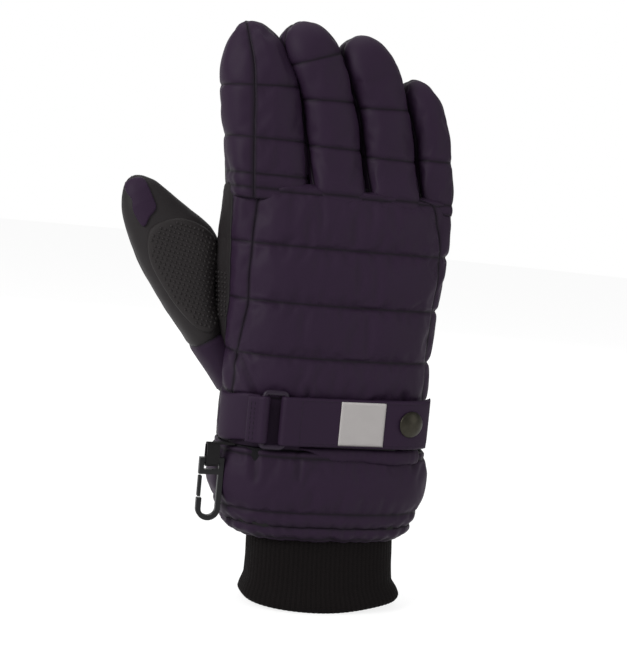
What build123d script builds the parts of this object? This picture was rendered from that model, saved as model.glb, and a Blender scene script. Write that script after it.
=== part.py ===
from build123d import *
from math import cos, radians, sin
import os

# Insulated work glove for the right hand, women's medium, as it looks when filled.
# Units are millimetres. The glove stands on the open rim of its knit cuff, fingers up:
# +Z runs from the rim to the fingertips, -Y is the back of the hand, +Y the palm and
# -X the thumb side. The origin is the middle of the rim's flat edge.

# ---------------------------------------------------------------- driving dimensions
# heights above the rim
FLARE_Z = 22.0
KNIT_STRAIGHT_Z = 50.0
HEM_Z = 38.0
HEM_HEIGHT = 9.0
CUFF_FULL_Z = 66.0
STRAP_Z = 95.0
STRAP_HEIGHT = 24.0
MID_HAND_Z = 132.0
PALM_Z = 170.0
KNUCKLE_Z = 206.0

# widths across the hand (X) and depths from back to palm (Y)
RIM_WIDTH, RIM_DEPTH = 84.0, 52.0
KNIT_WIDTH, KNIT_DEPTH = 76.0, 45.0
HEM_WIDTH, HEM_DEPTH = 93.0, 51.0
CUFF_WIDTH, CUFF_DEPTH = 109.0, 56.0
WRIST_WIDTH, WRIST_DEPTH = 106.0, 53.0
MID_HAND_WIDTH, MID_HAND_DEPTH = 107.0, 52.0
PALM_WIDTH, PALM_DEPTH = 112.0, 48.0
KNUCKLE_WIDTH, KNUCKLE_DEPTH = 114.0, 38.0
# the hand's middle line beside the middle of the rim, and how far the knit leans to it
GLOVE_X = -6.5
KNIT_X = -3.0
CORNER_SHARE = 0.44

# layers, from the outside in
SKIN = 1.2
PADDING = 3.6
LINING = 1.0
LAYER_GAP = 0.1
KNIT_WALL = 2.4
ELASTIC = 1.2
ELASTIC_HEIGHT = 8.0
FINGER_PADDING = 2.6
CLEARANCE = 0.3

# how far behind the middle of the hand the side strips meet the back and the palm panels
STRIP_BACK = 16.0
STRIP_PALM = 5.0

# fingers: name, middle of the base beside the hand's line, width, depth, length, lean at the base
# and how far the tip sweeps on towards the thumb
FINGERS = (
    ("index", -38.7, 34.4, 33.0, 80.0, 7.5, 6.5),
    ("middle", -6.5, 26.6, 34.0, 81.0, 8.0, 13.5),
    ("ring", 21.9, 26.0, 33.0, 78.0, 7.5, 14.0),
    ("little", 45.4, 19.2, 28.0, 60.0, 4.0, 12.0),
)
FINGER_SWEEP_POWER = 3.6
FOURCHETTE_HALF = 7.0
KNUCKLE_EDGE = 5.0
FINGER_PITCH = 3.0
FLEX_MAX = 50.0
HINGE_TO_PALM = 8.0
# share of the length along a finger, and share of its width and depth there
FINGER_TAPER = ((0.0, 0.92), (0.2, 0.99), (0.35, 1.0), (0.55, 0.96), (0.7, 0.9), (0.8, 0.82), (0.88, 0.7),
                (0.95, 0.5), (1.0, 0.25))

# thumb: its line starts inside the hand and leans away from it
THUMB_X, THUMB_Y, THUMB_Z = GLOVE_X - MID_HAND_WIDTH / 2 - 2.0, 14.0, 118.0
THUMB_LEAN = 33.0
THUMB_DEPTH = 28.0
THUMB_HINGE = 24.0
THUMB_FLEX_MAX = 40.0
THUMB_HINGE_TO_PALM = 7.0
# distance along the thumb's line, then how far the outer and the inner edge lie from it
THUMB_EDGES = (
    (24.0, 8.0, 10.0, 1.0),
    (40.0, 9.0, 20.0, 1.0),
    (56.0, 10.0, 29.5, 1.0),
    (72.0, 9.0, 26.0, 0.92),
    (84.0, 6.5, 20.0, 0.78),
    (93.0, 3.0, 16.0, 0.55),
    (97.5, -3.0, 12.5, 0.3),
)
THUMB_ROOT_EDGES = ((-8.0, 7.0, 14.0, 1.0), (8.0, 7.4, 12.0, 1.0), (24.0, 8.0, 10.0, 1.0))

# wrist strap, buckle and snap; offsets are from the glove's surface at the wrist
WEBBING = 1.0
PILE = 1.1
HOOK_TAPE = 1.4
TAPE_HEIGHT = STRAP_HEIGHT - 4.0
TAPE_MARGIN = 4.0
BAR_RADIUS = 1.1
BUCKLE_X, BUCKLE_SPAN, BUCKLE_HEIGHT = -31.4, 14.3, STRAP_HEIGHT + 2.8
FOLD_GAP = 0.3
STRAP_START_GAP = 1.0
STRAP_END_X = GLOVE_X + WRIST_WIDTH / 2 + 0.5
STRAP_SEWN_Y = -6.0
TAB_HEIGHT = STRAP_HEIGHT - 1.0
TAB_SEWN_Y = -4.0
LABEL_X, LABEL_WIDTH, LABEL_HEIGHT, LABEL_THICKNESS = 11.5, 26.0, STRAP_HEIGHT - 2.0, 0.5
SNAP_ANGLE = 16.0
SNAP_RADIUS, SNAP_CAP_HEIGHT = 6.2, 1.8
SNAP_ROUNDING = 0.6 * SNAP_CAP_HEIGHT
STUD_RADIUS, STUD_HEIGHT = 2.3, 1.6
SOCKET_RADIUS, SOCKET_HOLE_RADIUS, SOCKET_HEIGHT = 5.0, 3.6, 1.2
SOCKET_DROP = 0.5

# hanging hook on its webbing loop
HOOK_SIDE, HOOK_DROP = 4.0, 9.0
HOOK_X, HOOK_Y = GLOVE_X - max(CUFF_WIDTH, WRIST_WIDTH) / 2 - HOOK_SIDE, -16.0
HOOK_TOP_Z = STRAP_Z - STRAP_HEIGHT / 2 - HOOK_DROP
HOOK_WIDTH, HOOK_HEIGHT, HOOK_THICKNESS = 12.0, 31.0, 3.0
HOOK_BAR = 2.4
EYE_WIDTH, EYE_HEIGHT = 7.4, 3.4
HOOK_NOSE = 5.0
GATE_THICKNESS, GATE_GAP = 1.8, 0.7
LOOP_WIDTH, LOOP_THICKNESS, LOOP_LENGTH = 6.2, 1.0, 5.6
LOOP_INNER_RADIUS = 2.2
LOOP_SEWN_HALF = 1.6

# patches: on the palm, then on the thumb's front beside its own line
PALM_PATCH_THICKNESS = 1.0
PATCH_THICKNESS = 0.8
GRIP_LOW, GRIP_HIGH = (-6.0, 28.0), (22.0, 74.0)
TIP_LOW, TIP_HIGH = (-6.0, 76.0), (14.0, 97.0)
GRIP_FRONT_Y, TIP_FRONT_Y = 8.0, 3.0
PATCH_LOW = (-42.0, 0.0, 113.0)
PATCH_HIGH = (34.0, 60.0, 194.0)
FAR = 400.0
OFFCUT_VOLUME = 15.0

STRAP_MARGIN = 1.0
WRIST_LOW = STRAP_Z - STRAP_HEIGHT / 2 - STRAP_MARGIN
WRIST_HIGH = STRAP_Z + STRAP_HEIGHT / 2 + STRAP_MARGIN

# height, middle beside the hand's line, width, depth
GLOVE_STATIONS = (
    (HEM_Z, 1.5, HEM_WIDTH, HEM_DEPTH),
    (HEM_Z + HEM_HEIGHT, 0.5, 0.5 * (HEM_WIDTH + CUFF_WIDTH), 0.5 * (HEM_DEPTH + CUFF_DEPTH)),
    (CUFF_FULL_Z, 0.0, CUFF_WIDTH, CUFF_DEPTH),
    (WRIST_LOW, 0.0, WRIST_WIDTH, WRIST_DEPTH),
    (WRIST_HIGH, 0.0, WRIST_WIDTH, WRIST_DEPTH),
    (MID_HAND_Z, 0.0, MID_HAND_WIDTH, MID_HAND_DEPTH),
    (PALM_Z, -0.5, PALM_WIDTH, PALM_DEPTH),
    (KNUCKLE_Z + 6.0, -1.0, KNUCKLE_WIDTH, KNUCKLE_DEPTH),
)
KNIT_STATIONS = (
    (0.0, -GLOVE_X, RIM_WIDTH, RIM_DEPTH),
    (FLARE_Z / 2, 0.2 * KNIT_X - GLOVE_X, 0.6 * RIM_WIDTH + 0.4 * KNIT_WIDTH, 0.5 * (RIM_DEPTH + KNIT_DEPTH)),
    (FLARE_Z, 0.5 * KNIT_X - GLOVE_X, KNIT_WIDTH, KNIT_DEPTH),
    (KNIT_STRAIGHT_Z, KNIT_X - GLOVE_X, KNIT_WIDTH, KNIT_DEPTH),
)


# ---------------------------------------------------------------- helpers
os.makedirs("parts", exist_ok=True)


def save(shape, node):
    export_step(shape, f"parts/{node}.step")


def oval(center_x, center_y, z, width, depth):
    """One rounded cross-section, flat to the length of the piece."""
    corner = CORNER_SHARE * min(width, depth)
    return Plane(origin=(center_x, center_y, z)) * RectangleRounded(width, depth, corner)


def oval_solid(stations, inset=0.0):
    """Solid through the stations, taken in all round by the inset."""
    sections = []
    for z, beside, width, depth in stations:
        sections.append(oval(GLOVE_X + beside, 0.0, z, width - 2 * inset, depth - 2 * inset))
    return loft(sections, ruled=True)


def slab(low, high):
    """Everything between two corner points."""
    size = [b - a for a, b in zip(low, high)]
    middle = [(a + b) / 2 for a, b in zip(low, high)]
    return Pos(*middle) * Box(*size)


def between(z_low, z_high):
    return slab((-FAR, -FAR, z_low), (FAR, FAR, z_high))


def only_solids(shape):
    """The solids of a shape as one writable shape, without the offcuts at its edges."""
    solids = [s for s in shape.solids() if s.volume > OFFCUT_VOLUME]
    return solids[0] if len(solids) == 1 else Compound(children=solids)


# ---------------------------------------------------------------- finger and thumb forms
def finger_solid(width, depth, length, sweep, inset=0.0):
    """A closed finger up from its base at z = 0, curving to -X, taken in by the inset."""
    reach = (length - inset) / length
    sections = []
    for along, share in FINGER_TAPER:
        section_width = max(width * share - 2 * inset, 3.0)
        section_depth = max(depth * share - 2 * inset, 3.0)
        swept = -sweep * along ** FINGER_SWEEP_POWER
        sections.append(oval(swept, 0.0, along * length * reach, section_width, section_depth))
    return loft(sections, ruled=True)


def finger_place(base_x, lean):
    return Location((GLOVE_X + base_x, 0.0, KNUCKLE_Z)) * Rot(0, -lean, 0) * Rot(-FINGER_PITCH, 0, 0)


THUMB_PLACE = Location((THUMB_X, THUMB_Y, THUMB_Z)) * Rot(0, -THUMB_LEAN, 0)


def thumb_solid(edges, inset=0.0):
    """A solid along the thumb's own +Z, between its outer (-X) and inner (+X) edges."""
    tip = edges[-1][0]
    sections = []
    for along, outer, inner, depth_share in edges:
        width = max(outer + inner - 2 * inset, 3.0)
        depth = max(THUMB_DEPTH * depth_share - 2 * inset, 3.0)
        height = along - inset * (along - edges[0][0]) / (tip - edges[0][0])
        sections.append(oval((inner - outer) / 2, 0.0, height, width, depth))
    return loft(sections, ruled=True)


def knuckle_room(width, depth_to_hinge, hinge_y, flex):
    """What a finger needs free of the hand: above its base, and round its hinge."""
    half = width / 2 + CLEARANCE
    above = slab((-half, -FAR, -CLEARANCE), (half, FAR, FAR))
    radius = depth_to_hinge / cos(radians(flex)) + CLEARANCE
    turning = Pos(0, hinge_y, 0) * Rot(0, 90, 0) * Cylinder(radius, 2 * half)
    return above + turning


# ---------------------------------------------------------------- hand layers
SHELL_LIMITS = (SKIN, SKIN + LAYER_GAP, SKIN + LAYER_GAP + PADDING, SKIN + 2 * LAYER_GAP + PADDING)
LINER_INNER = SHELL_LIMITS[3] + LINING
FINGER_LIMITS = (SKIN + LAYER_GAP, SKIN + LAYER_GAP + FINGER_PADDING,
                 SKIN + 2 * LAYER_GAP + FINGER_PADDING,
                 SKIN + 2 * LAYER_GAP + FINGER_PADDING + LINING)
glove_outer = oval_solid(GLOVE_STATIONS)
thumb_root = THUMB_PLACE * thumb_solid(THUMB_ROOT_EDGES)

rooms = []
for name, base_x, width, depth, length, lean, sweep in FINGERS:
    room = knuckle_room(width, depth / 2 - HINGE_TO_PALM, HINGE_TO_PALM, FLEX_MAX)
    rooms.append(finger_place(base_x, lean) * room)
thumb_front_edge = THUMB_EDGES[0][2]
thumb_room_width = 2 * (thumb_front_edge + THUMB_DEPTH)
thumb_room = THUMB_PLACE * Pos(0, 0, THUMB_HINGE) * knuckle_room(
    thumb_room_width, THUMB_DEPTH / 2 - THUMB_HINGE_TO_PALM, THUMB_HINGE_TO_PALM,
    THUMB_FLEX_MAX)


def hand_layer(outer_inset, inner_inset, z_low):
    """One layer of the hand from a height up to the fingers, with the way to the thumb."""
    layer = oval_solid(GLOVE_STATIONS, outer_inset) - oval_solid(GLOVE_STATIONS, inner_inset)
    layer = layer & between(z_low, KNUCKLE_Z + KNUCKLE_EDGE)
    layer = layer - THUMB_PLACE * thumb_solid(THUMB_ROOT_EDGES, outer_inset)
    for room in rooms:
        layer = layer - room
    return layer


skin = hand_layer(0.0, SKIN, WRIST_LOW)
back_region = slab((-FAR, -FAR, 0), (FAR, -STRIP_BACK, FAR))
strip_region = slab((-FAR, -STRIP_BACK, 0), (FAR, -STRIP_PALM, FAR))
palm_region = slab((-FAR, -STRIP_PALM, 0), (FAR, FAR, FAR))
thumb_side = slab((-FAR, -FAR, 0), (0, FAR, FAR))
little_side = slab((0, -FAR, 0), (FAR, FAR, FAR))
save(only_solids(skin & back_region), "hand_back_quilted")
save(only_solids(skin & palm_region), "hand_palm")
save(only_solids(skin & strip_region & thumb_side), "thumb_side_strip")
save(only_solids(skin & strip_region & little_side), "little_side_strip")
save(only_solids(hand_layer(SHELL_LIMITS[1], SHELL_LIMITS[2], WRIST_LOW)), "hand_insulation")
save(only_solids(hand_layer(SHELL_LIMITS[3], LINER_INNER, WRIST_LOW)), "hand_lining")

palm_patch = oval_solid(GLOVE_STATIONS, -PALM_PATCH_THICKNESS) - glove_outer
palm_patch = palm_patch & slab(PATCH_LOW, PATCH_HIGH)
save(only_solids(palm_patch - thumb_root), "palm_grip_patch")

root_shell = thumb_root - THUMB_PLACE * thumb_solid(THUMB_ROOT_EDGES, SKIN)
root_shell = root_shell - glove_outer - thumb_room
save(only_solids(root_shell), "thumb_gusset")


# ---------------------------------------------------------------- cuff layers
def ring(stations, outer_inset, inner_inset, z_low, z_high):
    wall = oval_solid(stations, outer_inset) - oval_solid(stations, inner_inset)
    return only_solids(wall & between(z_low, z_high))


hem_top_z = HEM_Z + HEM_HEIGHT
elastic_low, elastic_high = HEM_Z + 1.5, hem_top_z - 1.5
save(ring(GLOVE_STATIONS, 0.0, SKIN, hem_top_z, WRIST_LOW), "gauntlet_cuff")
save(ring(GLOVE_STATIONS, SHELL_LIMITS[1], SHELL_LIMITS[1] + LINING, hem_top_z, WRIST_LOW),
     "gauntlet_lining")
save(ring(GLOVE_STATIONS, 0.0, SKIN, HEM_Z, hem_top_z), "gathered_hem")
save(ring(GLOVE_STATIONS, SHELL_LIMITS[1], SHELL_LIMITS[1] + ELASTIC, elastic_low, elastic_high),
     "hem_elastic")
save(ring(GLOVE_STATIONS, LINER_INNER, LINER_INNER + ELASTIC, STRAP_Z - ELASTIC_HEIGHT / 2,
          STRAP_Z + ELASTIC_HEIGHT / 2), "wrist_elastic")

# the knit widens inside the gauntlet and is sewn to the lower edge of the lining
knit_sewn = (WRIST_LOW, 0.0, WRIST_WIDTH - 2 * SHELL_LIMITS[3],
             WRIST_DEPTH - 2 * SHELL_LIMITS[3])
knit_stations = KNIT_STATIONS + (knit_sewn,)
save(ring(knit_stations, 0.0, KNIT_WALL, 0.0, WRIST_LOW), "knit_cuff")


# ---------------------------------------------------------------- fingers
for name, base_x, width, depth, length, lean, sweep in FINGERS:
    place = finger_place(base_x, lean)
    sizes = (width, depth, length, sweep)
    cloth = finger_solid(*sizes) - finger_solid(*sizes, SKIN)
    padding = finger_solid(*sizes, FINGER_LIMITS[0]) - finger_solid(*sizes, FINGER_LIMITS[1])
    lining = finger_solid(*sizes, FINGER_LIMITS[2]) - finger_solid(*sizes, FINGER_LIMITS[3])
    back = slab((-FAR, -FAR, -FAR), (FAR, -FOURCHETTE_HALF, FAR))
    sides = slab((-FAR, -FOURCHETTE_HALF, -FAR), (FAR, FOURCHETTE_HALF, FAR))
    palm = slab((-FAR, FOURCHETTE_HALF, -FAR), (FAR, FAR, FAR))
    save(place * only_solids(cloth & back), f"{name}_finger_back")
    save(place * only_solids(cloth & sides), f"{name}_finger_sides")
    save(place * only_solids(cloth & palm), f"{name}_finger_palm")
    save(place * only_solids(padding), f"{name}_finger_insulation")
    save(place * only_solids(lining), f"{name}_finger_lining")


# ---------------------------------------------------------------- thumb
thumb_form = thumb_solid(THUMB_EDGES)
thumb_cloth = thumb_form - thumb_solid(THUMB_EDGES, SKIN)
thumb_padding = thumb_solid(THUMB_EDGES, FINGER_LIMITS[0]) - thumb_solid(THUMB_EDGES, FINGER_LIMITS[1])
thumb_lining = thumb_solid(THUMB_EDGES, FINGER_LIMITS[2]) - thumb_solid(THUMB_EDGES, FINGER_LIMITS[3])
front_half = slab((-FAR, -FAR, -FAR), (FAR, 0, FAR))
rear_half = slab((-FAR, 0, -FAR), (FAR, FAR, FAR))
save(THUMB_PLACE * only_solids(thumb_cloth & front_half), "thumb_front")
save(THUMB_PLACE * only_solids(thumb_cloth & rear_half), "thumb_rear")
save(THUMB_PLACE * only_solids(thumb_padding), "thumb_insulation")
save(THUMB_PLACE * only_solids(thumb_lining), "thumb_lining")

thumb_patches = (thumb_solid(THUMB_EDGES, -PATCH_THICKNESS) - thumb_form) & front_half
grip_region = slab((GRIP_LOW[0], -FAR, GRIP_LOW[1]), (GRIP_HIGH[0], -GRIP_FRONT_Y, GRIP_HIGH[1]))
tip_region = slab((TIP_LOW[0], -FAR, TIP_LOW[1]), (TIP_HIGH[0], -TIP_FRONT_Y, TIP_HIGH[1]))
save(THUMB_PLACE * only_solids(thumb_patches & grip_region), "thumb_grip_patch")
save(THUMB_PLACE * only_solids(thumb_patches & tip_region), "thumb_tip_patch")


# ---------------------------------------------------------------- wrist strap and buckle
FOLD_OUTER = BAR_RADIUS + FOLD_GAP + WEBBING
BAR_OFFSET = FOLD_OUTER + CLEARANCE
TAIL_OFFSET = BAR_OFFSET + BAR_RADIUS + FOLD_GAP
BASE_OFFSET = CLEARANCE


def wrist_arc(offset):
    """Middle (beside the hand's line, Y) and radius of the wrist's rounded corner."""
    radius = CORNER_SHARE * (WRIST_DEPTH + 2 * offset)
    return WRIST_WIDTH / 2 + offset - radius, radius - WRIST_DEPTH / 2 - offset, radius


def wrist_band(inner_offset, thickness, height, x_from, x_to, y_limit):
    """A strip of webbing laid on the wrist, between two places across the back."""
    x_from, x_to = GLOVE_X + x_from, GLOVE_X + x_to
    rings = []
    for offset in (inner_offset + thickness, inner_offset):
        outline = oval(GLOVE_X, 0, STRAP_Z - height / 2, WRIST_WIDTH + 2 * offset,
                       WRIST_DEPTH + 2 * offset)
        rings.append(extrude(outline, height))
    return (rings[0] - rings[1]) & slab((x_from, -FAR, 0), (x_to, y_limit, FAR))


def wrist_y(beside, offset):
    """Height of the back (as -Y) beside the hand's line, at an offset from the surface."""
    corner_x, corner_y, radius = wrist_arc(offset)
    over = max(abs(beside) - corner_x, 0.0)
    return corner_y - (radius ** 2 - over ** 2) ** 0.5


left_bar_x, right_bar_x = BUCKLE_X - BUCKLE_SPAN / 2, BUCKLE_X + BUCKLE_SPAN / 2
bar_places = []
for bar_x in (left_bar_x, right_bar_x):
    bar_places.append((GLOVE_X + bar_x, wrist_y(bar_x, BAR_OFFSET)))


def upright(place, radius, height):
    return Pos(place[0], place[1], STRAP_Z) * Cylinder(radius, height)


corners = [(x, y, STRAP_Z + side * BUCKLE_HEIGHT / 2) for x, y in bar_places for side in (-1, 1)]
bars = [upright(place, BAR_RADIUS, BUCKLE_HEIGHT) for place in bar_places]
cross = Vector(*bar_places[1]) - Vector(*bar_places[0])
for side in (-1, 1):
    z = STRAP_Z + side * BUCKLE_HEIGHT / 2
    start = Plane(origin=(*bar_places[0], z), z_dir=(cross.X, cross.Y, 0))
    bars.append(start * Pos(0, 0, cross.length / 2) * Cylinder(BAR_RADIUS, cross.length))
for corner in corners:
    bars.append(Pos(*corner) * Sphere(BAR_RADIUS))
buckle = bars[0]
for bar in bars[1:]:
    buckle = buckle + bar
save(only_solids(buckle), "loop_buckle")

tab = wrist_band(BASE_OFFSET, WEBBING, TAB_HEIGHT, -FAR, left_bar_x, TAB_SEWN_Y)
sleeve = upright(bar_places[0], FOLD_OUTER, TAB_HEIGHT)
sleeve = sleeve - upright(bar_places[0], FOLD_OUTER - WEBBING, TAB_HEIGHT)
save(only_solids(tab + sleeve), "anchor_tab")

strap_start_x = right_bar_x + FOLD_OUTER + STRAP_START_GAP
tape_from, tape_to = strap_start_x + TAPE_MARGIN, wrist_arc(0.0)[0]
save(only_solids(wrist_band(BASE_OFFSET, WEBBING, STRAP_HEIGHT, strap_start_x, FAR, STRAP_SEWN_Y)),
     "strap_under_layer")
save(only_solids(wrist_band(BASE_OFFSET + WEBBING, PILE, TAPE_HEIGHT, tape_from, tape_to, 0)),
     "loop_tape")
save(only_solids(wrist_band(TAIL_OFFSET - HOOK_TAPE, HOOK_TAPE, TAPE_HEIGHT, tape_from, tape_to, 0)),
     "hook_tape")

tail = wrist_band(TAIL_OFFSET, WEBBING, STRAP_HEIGHT, right_bar_x, STRAP_END_X, 0)
fold = upright(bar_places[1], FOLD_OUTER, STRAP_HEIGHT)
fold = fold - upright(bar_places[1], FOLD_OUTER - WEBBING, STRAP_HEIGHT)
fold = fold & slab((-FAR, -FAR, 0), (bar_places[1][0], FAR, FAR))
save(only_solids(tail + fold), "strap_tail")

label = wrist_band(TAIL_OFFSET + WEBBING, LABEL_THICKNESS, LABEL_HEIGHT,
                   LABEL_X - LABEL_WIDTH / 2, LABEL_X + LABEL_WIDTH / 2, 0)
save(only_solids(label), "blank_label")


def snap_plane(offset):
    """A plane across the snap's axis, facing outwards, at an offset from the surface."""
    angle = radians(SNAP_ANGLE)
    corner_x, corner_y, reach = wrist_arc(offset)
    center = (GLOVE_X + corner_x + reach * sin(angle), corner_y - reach * cos(angle), STRAP_Z)
    return Plane(origin=center, z_dir=(sin(angle), -cos(angle), 0))


def disc(radius, height):
    return Pos(0, 0, height / 2) * Cylinder(radius, height)


cap = disc(SNAP_RADIUS, SNAP_CAP_HEIGHT)
cap = fillet(cap.edges().group_by(Axis.Z)[-1], SNAP_ROUNDING)
save(snap_plane(TAIL_OFFSET + WEBBING) * cap, "snap_cap")
socket = disc(SOCKET_RADIUS, SOCKET_HEIGHT) - disc(SOCKET_HOLE_RADIUS, SOCKET_HEIGHT)
save(snap_plane(TAIL_OFFSET - SOCKET_DROP - SOCKET_HEIGHT) * socket, "snap_socket")
save(snap_plane(BASE_OFFSET + WEBBING) * disc(STUD_RADIUS, STUD_HEIGHT), "snap_stud")


# ---------------------------------------------------------------- hanging hook
# drawn in the XZ plane with the middle of the eye's top bar at the origin
def block(x_from, x_to, z_from, z_to):
    return slab((x_from, -HOOK_THICKNESS / 2, z_from), (x_to, HOOK_THICKNESS / 2, z_to))


def half_ring(center_x, center_z, outer, inner):
    disc = Pos(center_x, 0, center_z) * Rot(90, 0, 0) * Cylinder(outer, HOOK_THICKNESS)
    disc = disc - Pos(center_x, 0, center_z) * Rot(90, 0, 0) * Cylinder(inner, HOOK_THICKNESS)
    return disc & block(center_x - outer, center_x + outer, center_z - outer, center_z)


half = HOOK_WIDTH / 2
eye_low = -HOOK_BAR / 2 - EYE_HEIGHT
bend_z = HOOK_BAR / 2 - HOOK_HEIGHT + half
hook = block(-half, half, eye_low - HOOK_BAR, HOOK_BAR / 2)
hook = hook - block(-EYE_WIDTH / 2, EYE_WIDTH / 2, eye_low, -HOOK_BAR / 2)
hook = hook + block(half - HOOK_BAR, half, bend_z, eye_low)
hook = hook + half_ring(0, bend_z, half, half - HOOK_BAR)
hook = hook + block(-half, HOOK_BAR - half, bend_z, bend_z + HOOK_NOSE)
hook_place = Pos(HOOK_X, HOOK_Y, HOOK_TOP_Z)
save(hook_place * only_solids(hook), "snap_hook")

gate_top_z = eye_low - HOOK_BAR - GATE_GAP
gate_low_z = bend_z + HOOK_NOSE + GATE_GAP
gate_inner_x = GATE_THICKNESS - half
gate = block(-half, gate_inner_x, gate_low_z, gate_top_z)
save(hook_place * only_solids(gate), "hook_gate")

# the webbing loop runs round the eye's bar and is sewn to the edge of the gauntlet
outer_radius = LOOP_INNER_RADIUS + LOOP_THICKNESS
loop_plane = Plane(origin=(-LOOP_WIDTH / 2, 0, LOOP_LENGTH / 2), x_dir=(0, 0, 1), z_dir=(1, 0, 0))
loop_face = SlotCenterToCenter(LOOP_LENGTH, 2 * outer_radius)
loop_face = loop_face - SlotCenterToCenter(LOOP_LENGTH, 2 * LOOP_INNER_RADIUS)
loop = hook_place * extrude(loop_plane * loop_face, LOOP_WIDTH)
sewn_z = HOOK_TOP_Z + LOOP_LENGTH + LOOP_INNER_RADIUS
sewn = slab((HOOK_X, HOOK_Y - LOOP_SEWN_HALF, sewn_z),
            (GLOVE_X, HOOK_Y + LOOP_SEWN_HALF, sewn_z + LOOP_THICKNESS))
save(only_solids(loop + (sewn - glove_outer)), "webbing_loop")
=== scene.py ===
import bmesh
import bpy
import numpy as np
from math import cos, pi, radians, sin, tan
from mathutils import Matrix, Vector, noise
from mathutils.bvhtree import BVHTree


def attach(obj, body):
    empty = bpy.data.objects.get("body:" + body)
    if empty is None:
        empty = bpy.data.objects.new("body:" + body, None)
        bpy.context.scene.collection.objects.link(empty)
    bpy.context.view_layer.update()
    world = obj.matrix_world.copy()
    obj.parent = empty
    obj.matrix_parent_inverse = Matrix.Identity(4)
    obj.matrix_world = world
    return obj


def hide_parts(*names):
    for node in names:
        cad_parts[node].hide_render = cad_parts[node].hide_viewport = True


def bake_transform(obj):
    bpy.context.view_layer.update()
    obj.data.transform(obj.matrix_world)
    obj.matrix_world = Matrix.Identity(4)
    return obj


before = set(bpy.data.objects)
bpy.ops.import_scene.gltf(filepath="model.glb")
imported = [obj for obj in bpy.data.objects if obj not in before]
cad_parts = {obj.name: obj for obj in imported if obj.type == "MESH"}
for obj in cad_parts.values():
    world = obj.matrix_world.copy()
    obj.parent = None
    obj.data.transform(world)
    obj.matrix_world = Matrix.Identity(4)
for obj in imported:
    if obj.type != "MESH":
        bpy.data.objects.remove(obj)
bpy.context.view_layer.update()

bl_info = {
    "name": "Insulated work glove",
    "version": (1, 0, 0),
    "blender": (4, 5, 0),
    "location": "3D View > Sidebar > Glove",
    "description": "Builds the soft shell, seams, knit, strap and finishes of an insulated glove round its frame",
    "category": "Object",
}

MM = 0.001

# ---------------------------------------------------------------- lines of the glove, in millimetres
# the glove stands on the rim of its knit cuff: Z up to the fingers, -Y out of the back of the hand
GLOVE_X = -6.5
WRIST_SEAM_Z = 82.0
STRAP_LOW_Z, STRAP_HIGH_Z = 83.0, 107.0
STRAP_Z = 0.5 * (STRAP_LOW_Z + STRAP_HIGH_Z)
BACK_SEAMS = (WRIST_SEAM_Z, STRAP_HIGH_Z, 127.4, 153.3, 180.6, 205.8)
KNUCKLE_Z = BACK_SEAMS[-1]
HAND_TOP_Z = 207.4

# height, middle beside the hand's line, width, depth from back to palm
HAND_FORM = (
    (82.0, -0.6, 104.0, 52.5), (107.0, -0.8, 103.5, 52.0), (118.0, -1.0, 103.4, 51.5),
    (132.0, -1.4, 103.6, 51.5), (153.0, -1.4, 106.6, 50.0), (170.0, -1.2, 110.0, 48.0),
    (184.0, -0.8, 112.4, 45.0), (205.8, -1.4, 112.6, 39.0), (207.4, -1.4, 110.0, 37.0),
)
HAND_POWER = 3.0
BACK_DOME = 1.6
PALM_EDGE = 4.8
# where the side strips end: height, then the strip's palm edge and back edge on the thumb side (Y)
THUMB_STRIP = ((82.0, 6.0, -11.0), (107.0, 6.0, -12.0), (122.0, 3.0, -13.0), (135.0, -1.5, -15.0),
               (150.0, -5.0, -17.2), (175.0, -6.4, -17.0), (209.5, -3.5, -15.0))
LITTLE_STRIP = (-5.0, -16.0)

# fingers: base beside the rim's middle, base Y, width, depth, length, lean at the base, sweep of the tip
FINGERS = {
    "index": dict(base=-46.2, back=0.0, width=38.0, depth=34.0, length=80.0, lean=6.7, sweep=7.6, round=(0.58, 1.78),
                  seams=(206.7, 213.3, 230.3, 255.2), back_from=((0.0, -10.6), (0.4, -8.0), (0.75, -5.0)), back_to=17.2),
    "middle": dict(base=-13.2, back=-0.5, width=28.6, depth=34.0, length=80.6, lean=7.9, sweep=15.6,
                   round=(0.78, 2.2), seams=(206.7, 228.9, 251.2, 270.5), back_from=((0.0, -13.5),), back_to=13.3),
    "ring": dict(base=15.2, back=0.0, width=27.8, depth=33.0, length=77.2, lean=7.4, sweep=15.8, round=(0.77, 2.2),
                 seams=(206.7, 226.1, 250.1), back_from=((0.0, -13.0),), back_to=12.8),
    "little": dict(base=38.7, back=1.0, width=19.4, depth=28.5, length=59.8, lean=3.8, sweep=13.4, round=(0.74, 2.1),
                   seams=(206.7, 227.5), back_from=((0.0, -9.0),), back_to=8.6),
}
SWEEP_POWER = 3.6
FINGER_POWER = 2.7
FINGER_BASE_POWER = 5.0
FINGER_START = -4.5
FINGER_PALM_Y = 9.0

THUMB_BASE = (-62.0, 14.0, 118.0)
THUMB_LEAN = 33.0
# along the thumb: distance, how far the outer and the inner edge lie from its line, depth
THUMB_FORM = ((-14.0, 4.8, 13.0, 24.0), (0.0, 6.0, 13.5, 27.0), (14.0, 7.2, 12.0, 27.5), (27.0, 8.3, 14.5, 28.0),
              (40.0, 9.3, 22.0, 28.0), (47.0, 9.6, 26.8, 28.0), (54.0, 9.8, 31.0, 28.0), (61.0, 9.6, 30.2, 27.4),
              (70.0, 8.8, 26.6, 26.0), (79.0, 7.4, 22.6, 23.4), (88.0, 4.8, 18.8, 19.5), (94.0, 1.8, 16.0, 15.5),
              (98.0, -1.6, 12.6, 10.5), (100.0, -5.0, 9.4, 5.0), (100.6, -7.2, 7.2, 0.0))
THUMB_POWER = 2.4

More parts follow.
